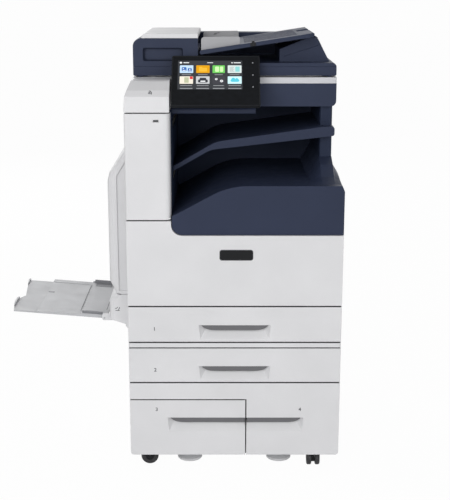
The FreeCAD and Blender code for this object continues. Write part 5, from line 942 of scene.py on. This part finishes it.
def castor_wheels():
    """Turned twin wheels with recessed hubs, in place of the CAD model's plain ones."""
    inside, outside, bore, tread = 5, 17, 12, 23    # from the middle, and from the axle
    tyre = [(inside, bore), (inside, tread - 2.4), (inside + 1, tread - 0.8),
            (inside + 2.8, tread), (outside - 2.8, tread), (outside - 1, tread - 0.8),
            (outside, tread - 2.4), (outside, tread - 5.6), (outside - 0.8, tread - 6.4),
            (outside - 0.8, bore), (inside, bore)]
    dish, cap = outside - 3.4, outside - 0.6
    hub = [(inside + 0.3, 0), (inside + 0.3, bore + 0.4), (outside - 1.4, bore + 4),
           (outside - 1.4, bore + 2.4), (dish, bore + 1), (dish, 7), (cap - 1.2, 6), (cap, 4.6),
           (cap, 0)]
    axle_end = inside + 1
    axle = [(-axle_end, 0), (-axle_end, 3.5), (axle_end, 3.5), (axle_end, 0)]
    for corner in ("front_left", "front_right", "rear_left", "rear_right"):
        node, body = f"castor_wheels_{corner}", f"wheels_{corner}"
        low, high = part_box(node)
        middle = (low + high) / 2
        size = high - low
        axis = RIGHT if size.x < size.y else BACK
        for part, side in (("outer", -1), ("inner", 1)):
            turned(f"tyre_{corner}_{part}", middle, side * axis, tyre,
                                "wheel_tread", body)
            turned(f"hub_{corner}_{part}", middle, side * axis, hub, "black_plastic", body)
        turned(f"axle_{corner}", middle, axis, axle, "bright_steel", body)
        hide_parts(node)


operation_panel()
front_marks()
seam_shade_strips()
rebate_shade_strip()
split_shade_strip()
grip_shade_plates()
tower_marks()
side_door_mark()
bypass_marks()
document_tray_details()
feeder_grip_shade_ring()
guide_mark()
toner_rings()
rear_fittings()
castor_wheels()
pressure_pad()


# ------------------------------------------------------------------ stage, light, camera
FLOOR_RINGS = (0, 1000, 3000, 9000, 24000)
MACHINE_MIDDLE = Vector((0.1, 0, 0.6))
# Each lamp's place, width and height in metres, and power in watts.
LAMPS = {"key": ((-1.6, -4.6, 2.1), 3.0, 2.4, 108),
         "fill": ((2.6, -4.2, 1.5), 2.4, 2.0, 44),
         "back": ((-1.8, 3.6, 2.4), 3.0, 2.4, 66)}
CAMERA_PLACE = (0.134556, -2.9933, 1.272)
CAMERA_TIPPED_DOWN = 14.06
CAMERA_LENS = 79.06


def stage():
    """A plain white floor that keeps a soft shadow and reads white to the camera."""
    made = bmesh.new()
    sweep(made, Vector((0, 0, 0)), UP, [(0, radius) for radius in FLOOR_RINGS], steps=64)
    mesh = bpy.data.meshes.new("floor")
    made.to_mesh(mesh)
    made.free()
    floor = bpy.data.objects.new("floor", mesh)
    bpy.context.scene.collection.objects.link(floor)
    paint = Finish("floor_white", grey(0.86), 0.9)
    tone = paint.mix(paint.spread(paint.noise(400), 0, 1), grey(0.85), grey(0.88))
    mesh.materials.append(paint.finish(tone, 0.9))
    share = paint.calculate("MULTIPLY", paint.seen_directly(), FLOOR_WHITE)
    glow = paint.add("ShaderNodeEmission", {"Color": grey(1)})["Emission"]
    blend = paint.add("ShaderNodeMixShader", {
        "Fac": share, 1: paint.shader.outputs["BSDF"], 2: glow})["Shader"]
    paint.feed(paint.tree.nodes["Material Output"].inputs["Surface"], blend)


def world():
    """White where it is seen, and a dimmer even sky as a light."""
    sky = bpy.data.worlds.new("studio")
    bpy.context.scene.world = sky
    sky.use_nodes = True
    made = Nodes(sky.node_tree)
    background = made.tree.nodes["Background"]
    made.feed(background.inputs["Color"], grey(1))
    level = made.spread(made.seen_directly(), SKY_LIGHT, SKY_SEEN, 0, 1)
    made.feed(background.inputs["Strength"], level)


def lamp(name, place, wide, tall, power):
    """A soft box that is aimed at the middle of the machine."""
    data = bpy.data.lights.new(name, "AREA")
    data.shape = "RECTANGLE"
    data.size = wide
    data.size_y = tall
    data.energy = power
    item = bpy.data.objects.new(name, data)
    item.location = place
    aim = MACHINE_MIDDLE - Vector(place)
    item.rotation_euler = aim.to_track_quat("-Z", "Y").to_euler()
    bpy.context.scene.collection.objects.link(item)


def camera():
    """The photograph's viewpoint: in front, a little above, and tipped down."""
    data = bpy.data.cameras.new("camera")
    data.lens = CAMERA_LENS
    data.sensor_width = 36
    data.sensor_fit = "AUTO"
    data.clip_end = 60
    item = bpy.data.objects.new("camera", data)
    item.location = CAMERA_PLACE
    item.rotation_euler = (math.radians(90 - CAMERA_TIPPED_DOWN), 0, 0)
    bpy.context.scene.collection.objects.link(item)
    bpy.context.scene.camera = item
    bpy.context.scene.view_settings.view_transform = "Standard"


stage()
world()
for label, (place, wide, tall, power) in LAMPS.items():
    lamp(label, place, wide, tall, power)
camera()

bpy.context.view_layer.update()
